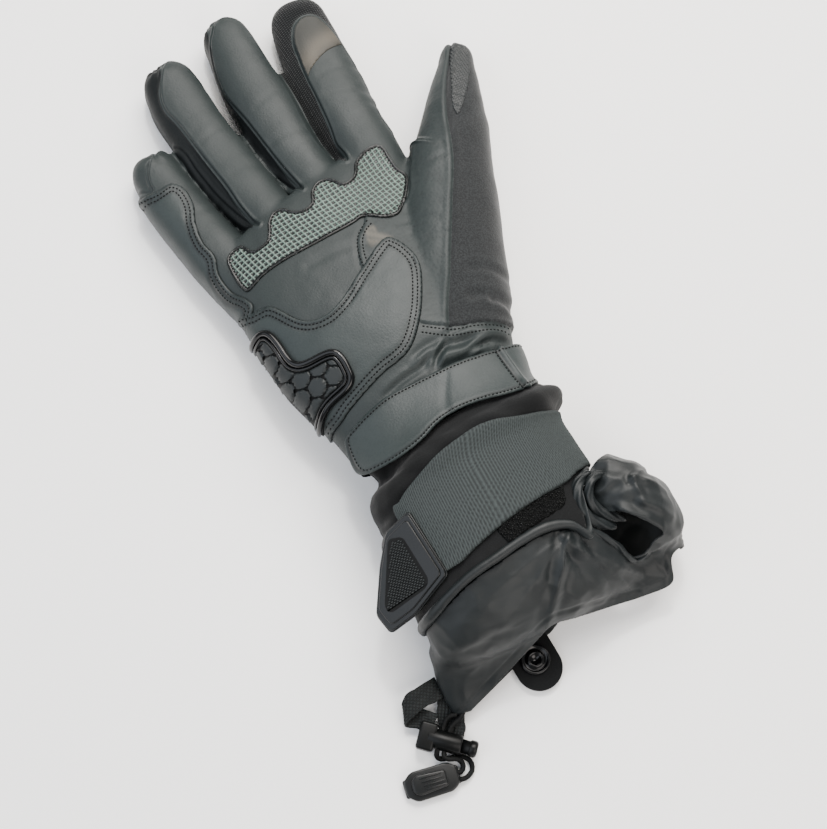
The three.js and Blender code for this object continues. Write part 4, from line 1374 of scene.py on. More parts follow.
    def sew_edges(self, bm: BMesh) -> None:
        """Sews the double seams that lie on the leather itself.

        Args:
            bm: The skin.
        """
        tree = surface_of(bm)
        gusset = curve(((25, 83), (20, 80.5), (15.5, 76), (12.5, 69), (11, 62)), 1.0)
        wrist = curve(((21, 26), (27, 21.5), (33, 18), (42, 15), (50, 12), (56, 9)), 1.0)
        for line, offsets in ((gusset, (1.3, 3.6)), (wrist, (-1.4, -4.2))):
            for offset in offsets:
                self.stitches.sew(shifted(line, offset), tree)

    def lining(self) -> None:
        """Makes the inner wall, which is seen from the wrist."""
        parts = [tube_mesh(HAND, 48, 30, -3, (4, 4))]
        parts += [tube_mesh(rows, 32, 40, -3, (5, 12)) for rows in FINGERS.values()]
        parts.append(tube_mesh(THUMB, 36, 44, -3, (5, 11)))
        bm = fused(parts, 2.6)
        relaxed(bm, 3)
        p = on_table(co_of(bm) - (0, 0, 3), 0.8) + (0, 0, 3)
        put(bm, p)
        cut_away(bm, p[:, 1] - HAND_END)
        bmesh.ops.reverse_faces(bm, faces=bm.faces)
        finish_piece(bm, "hand_lining", CUFF_SHELL)

    def overlays(self, skin: BMesh) -> BMesh:
        """Makes the leather overlays and the basket strip.

        Args:
            skin: The whole skin.

        Returns:
            The palm overlay's outer face.
        """
        little, far = lifted_patch(skin, LITTLE_OVERLAY, 0.25, 0.9, 1.0)
        self.pucker(little, far, LITTLE_ROWS)
        palm, far = lifted_patch(skin, PALM_OVERLAY, 0.25, 1.0, 1.0)
        self.pucker(palm, far, PALM_ROWS)
        face = palm.copy()
        for bm, name, ring, offsets in (
            (little, "little_overlay", LITTLE_OVERLAY, LITTLE_ROWS),
            (palm, "palm_overlay", PALM_OVERLAY, PALM_ROWS),
        ):
            tree = surface_of(bm)
            for offset in offsets:
                self.stitches.sew(shifted(curve(ring, 1.0, closed=True), offset), tree)
            finish_piece(bm, name + "_leather", SEWN_LEATHER, stands_for=(name,), wall=1.2)
        # Painted shade: the overlays' leather turns near black in its stitch furrows and along its edges.
        tint_by(bpy.data.materials[SEWN_LEATHER.name], "furrow_shade", "#0c0f10", 0.75)
        self.basket_strip(skin)
        return face

    def pucker(self, bm: BMesh, far: Points, rows: Sequence[float]) -> None:
        """Rolls an overlay's edge up a little, and draws it down along its rows of stitches.

        Args:
            bm: The overlay.
            far: Each vertex's distance from its edge.
            rows: Each row's distance from the edge.
        """
        p = co_of(bm)
        dip = sum(0.34 * bell(far - row, 0.6) for row in rows) - 0.3 * bell(far - 0.9, 0.6)
        put(bm, p - normals_of(bm) * dip[:, None])
        # Painted shade along the rows of stitches and along the edge.
        paint(bm, "furrow_shade", np.clip(sum(bell(far - row, 0.55) for row in rows) + bell(far, 0.5), 0, 1))

    def basket_strip(self, skin: BMesh) -> None:
        """Makes the strip across the knuckles, pressed to an open weave with a cell of 2.35 by 2.1 mm.

        Args:
            skin: The whole skin.
        """
        bm, _ = lifted_patch(skin, KNUCKLE_STRIP, 0.2, 0.8, 1.0)
        for _ in range(2):
            bmesh.ops.subdivide_edges(bm, edges=bm.edges, cuts=1, use_grid_fill=True, smooth=0.0)
        bm.normal_update()
        p = co_of(bm)
        far = inside_distance(p, curve(KNUCKLE_STRIP, 1.0, closed=True))
        u = p[:, 0] + 0.12 * (p[:, 1] - 95) + 0.8 * np.sin(p[:, 1] / 7)
        v = p[:, 1] - 0.09 * p[:, 0] + 2.0 * np.sin(p[:, 0] / 16)
        across, along = np.cos(math.pi * u / 2.35), np.cos(math.pi * v / 2.1)
        thread = np.maximum(step_up(np.abs(across), 0.82, 0.96), step_up(np.abs(along), 0.82, 0.96) * 0.9)
        over = 0.12 * np.sign(across * along)
        body = step_up(far, 1.5, 2.0)
        border = 0.4 * bell(far - 0.6, 0.4) - 0.4 * bell(far - 1.4, 0.4)
        rise = body * (0.7 * thread + over * thread - 0.5) + border
        put(bm, p + normals_of(bm) * rise[:, None])
        # Painted shade in the weave's pits, and the dark colour of the stitched border, where no threads are.
        paint(bm, "pit_shade_and_border", 1 - thread * body)
        tree = surface_of(bm)
        self.stitches.sew(shifted(curve(KNUCKLE_STRIP, 1.0, closed=True), 1.35), tree)
        strip = finish_piece(bm, "basket_strip", BASKET, stands_for=("knuckle_strip",), wall=0.8)
        # Pits and border turn near black: painted shade in the pits, the border's own dark colour.
        tint_by(strip.data.materials[0], "pit_shade_and_border", "#090c0c", 1.0)

    def slider(self, over: BMesh) -> None:
        """Makes the palm slider: a glossy rim, a base and dull raised hexagons.

        Args:
            over: The palm overlay's outer face, which is freed.
        """
        ring = curve(SLIDER_EDGE, 1.0, closed=True)
        base, _ = lifted_patch(over, SLIDER_EDGE, 0.3, 0.5, 0.8)
        tree = surface_of(base)
        finish_piece(base, "slider_base", SHADED_GROOVE_RUBBER, stands_for=("palm_slider",), wall=0.8)
        beads = [self.bead(tree, offset, radius) for offset, radius in ((1.5, 1.5), (3.7, 0.85))]
        finish_piece(merged(beads), "slider_rim", GLOSS_RUBBER)
        tiles = []
        pitch = self.tile_pitch
        reach = (pitch - self.tile_gap) / math.sqrt(3)
        for row in range(-3, 5):
            for column in range(-4, 6):
                x = self.tile_start[0] + column * pitch + (row % 2) * pitch / 2
                y = self.tile_start[1] + row * pitch * math.sqrt(3) / 2
                tiles.append(self.tile(tree, ring, x, y, reach))
        kept = [one for one in tiles if one is not None]
        finish_piece(merged(kept), "slider_hexagons", DULL_RUBBER)
        over.free()

    def bead(self, tree: BVHTree, inset: float, radius: float) -> BMesh:
        """Makes one round bead of the slider's rim, which runs over the hand and down its side.

        Args:
            tree: The surface that it lies on.
            inset: How far inside the slider's outline it runs.
            radius: Its radius.

        Returns:
            The bead.
        """
        line = shifted(curve(SLIDER_EDGE, 0.6, closed=True), inset)
        hits = [found for found in (dropped(tree, *spot) for spot in line) if found and found[1].z > 0.2]
        for end in (0, -1):
            at, up = hits[end]
            for _ in range(8):
                down = (Vector((0, 0, -1)) + up * up.z).normalized()
                at, up, _, _ = tree.find_nearest(at + down * 1.0)
                if end == 0:
                    hits.insert(0, (at, up))
                else:
                    hits.append((at, up))
        path = np.array([(*at, *up) for at, up in hits])
        for turn in range(30):
            part = slice(None) if turn < 10 else slice(3, None)
            path[1:-1, part] = 0.25 * path[:-2, part] + 0.5 * path[1:-1, part] + 0.25 * path[2:, part]
        ahead = np.gradient(path[:, :3], axis=0)
        side = np.cross(ahead, path[:, 3:])
        side /= np.linalg.norm(side, axis=1)[:, None]
        up = path[:, 3:] / np.linalg.norm(path[:, 3:], axis=1)[:, None]

        def place(u: Points, v: Points) -> Points:
            """A point of the bead.

            Args:
                u: Where round it.
                v: Where along it.

            Returns:
                One point for each u and v.
            """
            at, across, out = (between(a, v) for a in (path[:, :3], side, up))
            thick = radius * np.sin(math.pi * np.clip(v, 0.002, 0.998)) ** 0.1
            across = across * (thick * np.cos(2 * math.pi * u))[:, None]
            return at + across + out * (0.5 * radius + thick * np.sin(2 * math.pi * u))[:, None]

        bm = mapped(20, len(path) * 2, place, True)
        bmesh.ops.recalc_face_normals(bm, faces=bm.faces)
        return bm

    def tile(self, tree: BVHTree, ring: Points, x: float, y: float, reach: float) -> BMesh | None:
        """Makes one hexagon with a narrow rounded edge, cut off where it meets the rim.

        Args:
            tree: The surface that it lies on.
            ring: The slider's outline.
            x: Its middle along X.
            y: Its middle along Y.
            reach: From its middle to a corner.

        Returns:
            The hexagon, or None where the rim leaves no room for it.
        """
        one = bmesh.new()
        turn = Matrix.Rotation(math.pi / 6, 4, "Z")
        bmesh.ops.create_circle(one, segments=6, radius=reach, cap_ends=True, matrix=turn)
        bmesh.ops.translate(one, verts=one.verts, vec=(x, y, 0))
        bmesh.ops.inset_region(one, faces=one.faces, thickness=0.25, use_even_offset=True)
        bmesh.ops.inset_region(
            one, faces=[f for f in one.faces if len(f.verts) == 6], thickness=0.3, use_even_offset=True
        )
        bmesh.ops.triangulate(one, faces=one.faces)
        for _ in range(3):
            bmesh.ops.subdivide_edges(one, edges=one.edges, cuts=1, use_grid_fill=True)
        limit = inside_distance(co_of(one), ring) - TILE_INSET
        if limit.max() < 0.8:
            one.free()
            return None
        cut_away(one, limit)
        p = co_of(one)
        around = np.arange(6) * math.pi / 3 + math.pi / 6
        corners = reach * np.stack([np.cos(around), np.sin(around)], axis=1) + (x, y)
        edge = np.minimum(inside_distance(p, corners), inside_distance(p, ring) - TILE_INSET)
        rise = 1.3 * np.sqrt(np.clip(1 - (1 - np.clip(edge / 0.25, 0, 1)) ** 2, 0, 1)) - 0.3
        lost = []
        for v, up in zip(list(one.verts), rise):
            found = dropped(tree, v.co.x, v.co.y)
            if found and found[1].z > 0.1:
                v.co = found[0] + found[1] * float(up)
            else:
                lost.append(v)
        bmesh.ops.delete(one, geom=lost, context="VERTS")
        return one

    def tips(self, skin: BMesh) -> None:
        """Makes the touch patch on the index finger and the textured patch on the thumb.

        Args:
            skin: The whole skin.
        """
        bm, _ = lifted_patch(skin, TOUCH_PATCH, 0.12, 0.25, 0.8, floor=12)
        p = co_of(bm)
        cut_away(bm, inside_distance(p, curve(FRONT_PANELS, 1.0, closed=True)) - 0.8)
        # Paler and browner along a band across the patch's lower right.
        paler_spot, _ = line_distance(co_of(bm), curve(((44, 168), (50, 173), (60, 175)), 1.0))
        paint(bm, "paler_spot", bell(paler_spot, 4.5))
        finish_piece(bm, "index_touch_patch", TOUCH_LEATHER, stands_for=("touch_patch",), wall=0.4)
        tint_by(bpy.data.materials[TOUCH_LEATHER.name], "paler_spot", "#4f4a41", 0.75)
        bm, _ = lifted_patch(skin, THUMB_TIP_PATCH, 0.15, 0.4, 0.9, floor=8)
        bmesh.ops.subdivide_edges(bm, edges=bm.edges, cuts=2, use_grid_fill=True)
        p = co_of(bm)
        bumps = (
            np.cos(2 * math.pi * (p[:, 0] + p[:, 1]) / 2.6) * np.cos(2 * math.pi * (p[:, 0] - p[:, 1]) / 2.6)
        )
        put(bm, p + normals_of(bm) * (0.3 * bumps)[:, None])
        finish_piece(bm, "thumb_grip", GRIP_RUBBER, stands_for=("thumb_tip_patch",), wall=0.4)


@dataclass
class Cuff:
    """The padded cuff, its two straps, its rolled end and what is fastened on it.

    Attributes:
        wall: Thickness of softshell over foam.
    """

    wall: float = 3.5

    def build(self) -> None:
        """Makes every piece of the cuff."""
        tube = self.tube()
        self.hook_tape(tube)
        tube.free()
        self.wrist_strap()
        self.elastic_strap()
        self.rolled_edge()
        self.pull_tab()

    def tube(self) -> BMesh:
        """Makes the padded tube.

        Returns:
            A copy of its outer face.
        """
        bm = tube_mesh(CUFF, 220, 84)
        p = co_of(bm)
        n = normals_of(bm)
        top = step_up(n[:, 2], -0.3, 0.4)
        y = p[:, 1]
        rise = 0.7 * ripple(p, 22, 3, 7) + 0.35 * ripple(p * (1, 2.2, 1), 9, 2, 8)
        rise += 3.0 * bell(y + 29, 4.5) * step_up(p[:, 0], 36, 50)
        rise += 2.6 * bell(y + 55, 12) * step_up(-p[:, 0], 28, 40)
        rise -= 6.5 * bell(y + 21, 6) * step_up(-p[:, 0], 10, 30)
        rise -= 1.6 * bell(y + 0.5 * (p[:, 0] + 40) + 44, 2.2) * step_up(-p[:, 0], 14, 26)
        rise -= 1.8 * bell(y + 40, 3.5) * (0.4 + 0.6 * top)
        rise += 0.9 * np.sin(p[:, 0] * 0.35 + y * 0.25) * bell(y + 31, 5) * top
        put(bm, on_table(p + n * rise[:, None], 0.6))
        end, _ = line_distance(co_of(bm), curve(CUFF_END, 1.0))
        cut_away(bm, np.minimum(end - 2.0, -16.5 - co_of(bm)[:, 1]))
        face = bm.copy()
        piece = finish_piece(bm, "cuff_shell", CUFF_SHELL, stands_for=("cuff",), wall=self.wall)
        return face

    def wrist_strap(self) -> None:
        """Makes the leather strap round the wrist, sewn close to both edges."""
        band = tube_mesh(WRIST_BAND, 300, 52, 0.6)
        bm, far = lifted_patch(band, STRAP_EDGE, 0.2, 1.1, 0.8, floor=5)
        band.free()
        p = co_of(bm)
        crease, _ = line_distance(p, curve(((18, 0), (12, -9), (8.4, -17)), 1.0))
        end = curve(((44.2, 3), (44.6, -8), (45.2, -22)), 1.0)
        fold, _ = line_distance(p, end)
        rise = 0.4 * ripple(p, 20, 2, 11) - 0.35 * bell(far - 1.4, 0.6) - 0.4 * bell(crease, 1.4)
        rise += 0.9 * bell(fold - 0.9, 0.9) - 0.8 * bell(fold + 1.2, 0.7)
        put(bm, p + normals_of(bm) * rise[:, None])
        # Painted shade in the stitches' furrows and in the groove beside the strap's end.
        paint(bm, "furrow_shade", np.clip(bell(far - 1.4, 0.5) + bell(fold + 1.2, 0.6), 0, 1))
        stitches = Stitching("strap_stitches")
        tree = surface_of(bm)
        stitches.sew(shifted(curve(STRAP_EDGE, 1.0, closed=True), 1.4), tree)
        stitches.sew(shifted(end, -2.4), tree)
        stitches.build()
        finish_piece(bm, "wrist_strap_leather", SEWN_LEATHER, stands_for=("wrist_strap",), wall=1.8)

    def elastic_strap(self) -> None:
        """Makes the wide elastic: cords along the glove about 1 mm apart, crossed by a fine weft."""
        cords, per_cord = 122, 4

        def place(u: Points, v: Points) -> Points:
            """A point of the band.

            Args:
                u: Where round the cuff.
                v: Where along the cuff.

            Returns:
                One point for each u and v.
            """
            return tube_points(CUFF, 0.03 + 0.47 * u, 0.1 + 0.68 * v, 1.0, (0, 0))

        base = mapped(cords * per_cord, 74, place, False)
        p = co_of(base)
        grid = np.arange(len(p)) % (cords * per_cord + 1)
        cord = np.cos(2 * math.pi * grid / per_cord)
        weft = np.cos(2 * math.pi * p[:, 1] / 1.7 + math.pi * (grid // per_cord % 2))
        # Painted shade between the cords and where the weft dips, read by the elastic's material.
        paint(base, "gap", np.clip(0.5 - 0.4 * cord - 0.25 * weft, 0, 1))
        paint(base, "cord", 0.7 * cord + 0.3 * weft)
        bmesh.ops.recalc_face_normals(base, faces=base.faces)
        if normals_of(base)[:, 2].mean() < 0:
            bmesh.ops.reverse_faces(base, faces=base.faces)
        bm, far = lifted_patch(base, ELASTIC_EDGE, 0.3, 1.3, 0.8, floor=6)
        base.free()
        p, n = co_of(bm), normals_of(bm)
        layer = bm.verts.layers.float["cord"]
        rib = np.array([v[layer] for v in bm.verts]) * step_up(far, 0.8, 1.5)
        put(bm, p + n * (0.13 * rib + 0.5 * ripple(p, 26, 2, 13))[:, None])
        strap = finish_piece(bm, "elastic_strap_web", ELASTIC, stands_for=("elastic_strap",), wall=1.2)
        # Painted shade: the elastic darkens between its cords.
        tint_by(strap.data.materials[0], "gap", "#0b0c0d", 0.75)

    def hook_tape(self, tube: BMesh) -> None:
        """Makes the patch of fuzzy tape that shows beside the elastic, with its curled fibres.

        Args:
            tube: The cuff's outer face.
        """
        bm, _ = lifted_patch(tube, HOOK_PATCH, 0.1, 0.6, 0.8, floor=20)
        bmesh.ops.subdivide_edges(bm, edges=bm.edges, cuts=2, use_grid_fill=True)
        bm.normal_update()
        p = co_of(bm)
        put(bm, p + normals_of(bm) * (0.5 * ripple(p, 1.6, 2, 17))[:, None])
        tree = surface_of(bm)
        curl = bmesh.new()
        bmesh.ops.create_circle(curl, segments=3, radius=0.11, matrix=Matrix.Translation((0.55, 0, 0)))
        bmesh.ops.spin(
            curl, geom=list(curl.edges), cent=(0, 0, 0), axis=(0, 1, 0), angle=-math.pi * 1.3, steps=6
        )
        ring = curve(HOOK_PATCH, 1.0, closed=True)
        spots = np.array([
            (x + 0.5 * math.sin(x * 7 + y * 3), y + 0.5 * math.cos(x * 5 - y * 9))
            for x in np.arange(-8, 33, 0.95) for y in np.arange(-77, -60, 0.95)
        ])
        places = []
        for (x, y), far in zip(spots, inside_distance(spots, ring)):
            found = dropped(tree, x, y) if far > 0.6 else None
            if found:
                turn = Matrix.Rotation(x * 13.7 + y * 5.3, 4, "Z")
                turn = turn @ Matrix.Rotation(0.5 * math.sin(x * 3.1 + y), 4, "X")
                places.append(Matrix.Translation(found[0]) @ turn)
        fuzz = copied(curl, places)
        finish_piece(bm, "hook_tape", HOOK_TAPE, stands_for=("hook_patch",), wall=0.6)
        finish_piece(fuzz, "hook_fibres", FIBRE)

    def rolled_edge(self) -> None:
        """Makes the soft nylon roll round the cuff's end."""
        line = curve(CUFF_END, 0.5)

        def place(u: Points, v: Points) -> Points:
            """A point of the roll.

            Args:
                u: Where round the cuff.
                v: Where round the roll.

            Returns:
                One point for each u and v.
            """
            y = np.full(len(u), -82.0)
            for _ in range(8):
                at = tube_points(CUFF, u, (CUFF[0].y - y) / (CUFF[0].y - CUFF[-1].y), 0, (0, 0))
                y = np.interp(at[:, 0], line[:, 0], line[:, 1])
            table = np.array(CUFF, float)
            turn = 2 * math.pi * v
            here = (y + 2.0) + 2.2 * np.cos(turn)
            t = np.interp(-here, -table[:, 1], np.linspace(0, 1, len(table)))
            outer = tube_points(CUFF, u, t, 0, (0, 0))
            lift = tube_points(CUFF, u, t, 1.0, (0, 0)) - outer
            return on_table(outer + lift * (-0.6 + 1.9 * np.sin(turn))[:, None], 0.5)

        bm = mapped(260, 20, place, True)
        p = co_of(bm)
        put(bm, p + normals_of(bm) * (0.25 * ripple(p, 7, 2, 19))[:, None])
        finish_piece(bm, "rolled_edge", NYLON, stands_for=("cuff_binding",))

    def pull_tab(self) -> None:
        """Makes the moulded tab on the elastic's end: a rim, a raised plate and a textured inset."""
        edge = ((-26, -44.5), (-38, -46.5), (-47, -57), (-58, -73), (-56.5, -83), (-44, -82.5), (-24.8, -76))
        inset = (
            (-32.3, -52.5), (-37.8, -49.8), (-52.6, -72.8), (-51.6, -76.2), (-34.5, -75.8), (-31.8, -73.4)
        )
        lean = Matrix.Translation((*TAB_MIDDLE, 41.8)) @ Matrix.Rotation(-TAB_LEAN, 4, "Y")
        for name, outline, share, low, high, soft, finish, nodes in (
            ("pull_tab_rim", edge, 1.0, 0.0, 1.5, 0.5, ACETAL, ("pull_tab",)),
            ("pull_tab_ridge", edge, 0.965, 1.3, 2.3, 0.45, ACETAL, ()),
            ("pull_tab_plate", edge, 0.86, 1.5, 3.1, 0.6, ACETAL, ()),
            ("pull_tab_inset", inset, 1.0, 2.9, 3.15, 0.2, SHADED_GROOVE_RUBBER, ("pull_tab_panel",)),
        ):
            flat = [
                ((x - TAB_MIDDLE[0]) * share / math.cos(TAB_LEAN), (y - TAB_MIDDLE[1]) * share)
                for x, y in outline
            ]
            bm = slab(flat, low, high, 2.0)
            bm.transform(lean)
            finish_piece(bm, name, finish, stands_for=nodes, bevel=soft)
        self.tab_mesh(inset, lean)

    def tab_mesh(self, outline: Outline, lean: Matrix) -> None:
        """Fills the tab's inset with small raised lozenges, 1.5 mm apart.

        Args:
            outline: The inset's outline, seen from above.
            lean: Where the tab is and how it leans.
        """
        stud = bmesh.new()
        bmesh.ops.create_cone(stud, cap_ends=True, segments=4, radius1=0.62, radius2=0.42, depth=0.5)
        spots = np.array([
            ((x - TAB_MIDDLE[0]) / math.cos(TAB_LEAN), y - TAB_MIDDLE[1], 0)
            for row, y in enumerate(np.arange(-78, -50, 0.78))
            for x in np.arange(-54, -30, 1.5) + (row % 2) * 0.75
        ])
        ring = np.array([((x - TAB_MIDDLE[0]) / math.cos(TAB_LEAN), y - TAB_MIDDLE[1]) for x, y in outline])
        places = [
            lean @ Matrix.Translation((spot[0], spot[1], 3.3)) @ Matrix.Diagonal((1.25, 0.85, 1, 1))
            for spot, far in zip(spots, inside_distance(spots, ring)) if far > 1.4
        ]
        finish_piece(copied(stud, places), "pull_tab_lozenges", DULL_RUBBER)


@dataclass
class Skirt:
    """The thin nylon skirt, its snap tab and its snap.

    Attributes:
        wall: Thickness of the cloth.
    """

    wall: float = 0.5

    def build(self) -> None:
        """Makes every piece of the skirt."""
        self.cloth()
        self.snap()

    def cloth(self) -> None:
        """Makes the crumpled cloth, with its mouth and its hem."""
        parts = [tube_mesh(SKIRT, 140, 70, caps=(3, 3)), tube_mesh(SLUMP, 90, 70, caps=(3, 3))]
        bm = fused(parts, 0.85)
        relaxed(bm, 4)
        p, n = co_of(bm), normals_of(bm)
        seen = step_up(n[:, 2], -0.4, 0.2)
        lobe = step_up(p[:, 0], 36, 46)
        rise = 0.5 * ripple(p, 24, 2, 21) * (0.4 + 0.6 * step_up(p[:, 0], -5, 20)) * (1 - 0.3 * lobe)
        rise += 0.55 * (0.5 - 2.2 * np.abs(ripple(p, 15, 1, 33))) * (1 - lobe)
        rise += 0.22 * (0.5 - 2.2 * np.abs(ripple(p, 7, 1, 35)))
        for x0, y0, x1, y1, high, wide in PLEATS:
            d, along = line_distance(
                p, curve(((x0, y0), ((x0 + x1) / 2 + 0.6, (y0 + y1) / 2), (x1, y1)), 1.5)
            )
            fade = 1 - 0.75 * along / math.hypot(x1 - x0, y1 - y0)
            crest = np.where(d > 0, np.exp(-d / (2.4 * wide)), np.exp(d / (0.6 * wide)))
            rise += seen * fade * high * (crest - 0.35 * bell(np.abs(d) - 3.2 * wide, 1.5 * wide))
        away = p[:, :2] - MOUTH_MIDDLE
        out = np.hypot(away[:, 0], away[:, 1])
        turn = np.arctan2(away[:, 1], away[:, 0]) + 0.5 * ripple(p, 22, 1, 23)
        folds = 1 - 2 * np.abs(np.sin(3.6 * turn))
        rise += lobe * seen * 0.4 * folds * step_up(out, 3, 12) * (1 - 0.4 * step_up(out, 22, 34))
        rise += lobe * 0.8 * (0.5 - 2.2 * np.abs(ripple(p, 17, 1, 27)))
        put(bm, on_table(p + n * rise[:, None], 0.5))
        relaxed(bm, 1)
        tree = surface_of(bm)
        p = co_of(bm)
        end, _ = line_distance(p, curve(CUFF_END, 1.0))
        hem, _ = line_distance(p, curve(HEM, 1.0))
        mouth = inside_distance(p, curve(MOUTH, 1.0, closed=True))
        open_top = np.where(p[:, 2] > 12, mouth, -5.0)
        band = step_up(hem, 2.2, 2.8) - step_up(hem, 3.4, 4.0)
        put(bm, p - normals_of(bm) * (0.35 * band)[:, None])
        under = 4.5 * (1 - step_up(p[:, 2], 4, 9)) * step_up(p[:, 0], 4, 14)
        cut_away(bm, np.minimum(np.minimum(hem - under, -0.5 - end), -open_top))
        cloth = finish_piece(bm, "skirt_cloth", NYLON, stands_for=("skirt",), wall=self.wall)
        self.rolled_mouth(tree)

    def rolled_mouth(self, tree: BVHTree) -> None:
        """Makes the cloth that is rolled and twisted round the mouth.

        Args:
            tree: The cloth, on which the lower lip lies.
        """
        lip = [(x, y, dropped(tree, x, y)[0].z - 0.4) for x, y in MOUTH_LIP]
        for name, route, thick, turns in (
            ("mouth_roll_outer", MOUTH_ROLL_OUTER, 2.6, 0.5),
            ("mouth_roll_inner", MOUTH_ROLL_INNER, 2.2, 0.7),
            ("mouth_roll_low", lip, 1.6, 0.4),
            ("mouth_crumple", MOUTH_CRUMPLE, 1.5, 1.6),
        ):
            path = curve(route, 0.5)
            ahead = np.gradient(path, axis=0)
            ahead /= np.linalg.norm(ahead, axis=1)[:, None]
            side = np.cross(ahead, (0, 0, 1.0))
            side /= np.linalg.norm(side, axis=1)[:, None]
            up = np.cross(side, ahead)

            def place(u: Points, v: Points) -> Points:
                """A point of the roll.

                Args:
                    u: Where round it.
                    v: Where along it.

                Returns:
                    One point for each u and v.
                """
                at, s, t = (between(a, v) for a in (path, side, up))
                turn = 2 * math.pi * (u + turns * v)
                taper = np.sin(math.pi * np.clip(v, 0.002, 0.998)) ** 0.35
                swell = thick * taper * (1 + 0.16 * np.cos(2 * turn) + 0.12 * np.cos(5 * turn + 9 * v))
                round_it = 2 * math.pi * u
                return at + s * (swell * np.cos(round_it))[:, None] + t * (swell * np.sin(round_it))[:, None]

            bm = mapped(30, len(path) * 2, place, True)
            p = co_of(bm)
            put(bm, p + normals_of(bm) * (0.3 * ripple(p, 5, 2, 31))[:, None])
            finish_piece(bm, name, NYLON)

    def snap(self) -> None:
        """Makes the softshell tab under the hem and the ringed snap on it."""
        bm = bmesh.new()
        bmesh.ops.create_circle(bm, segments=48, radius=10.3, cap_ends=True)
        for v in bm.verts:
            v.co = (v.co.x, v.co.y + (14 if v.co.y > 0 else 0), 0)
        raised(bm, 2.2)
        bmesh.ops.translate(bm, verts=bm.verts, vec=(-7, -123.5, 1.4))
        finish_piece(bm, "snap_tab", CUFF_SHELL, stands_for=("button_tab",), bevel=0.6)
        profile = (
            (0.01, 1.2), (1.8, 1.3), (2.3, 2.1), (3.0, 2.5), (3.7, 2.1), (4.1, 1.3), (4.8, 1.1),
            (5.4, 1.6), (6.0, 1.9), (6.5, 1.5), (6.7, 0.0)
        )
        finish_piece(
            turned(profile, Matrix.Translation((-7, -120, 3.9))), "snap_button", GLOSS_RUBBER,
            stands_for=("button",)
        )


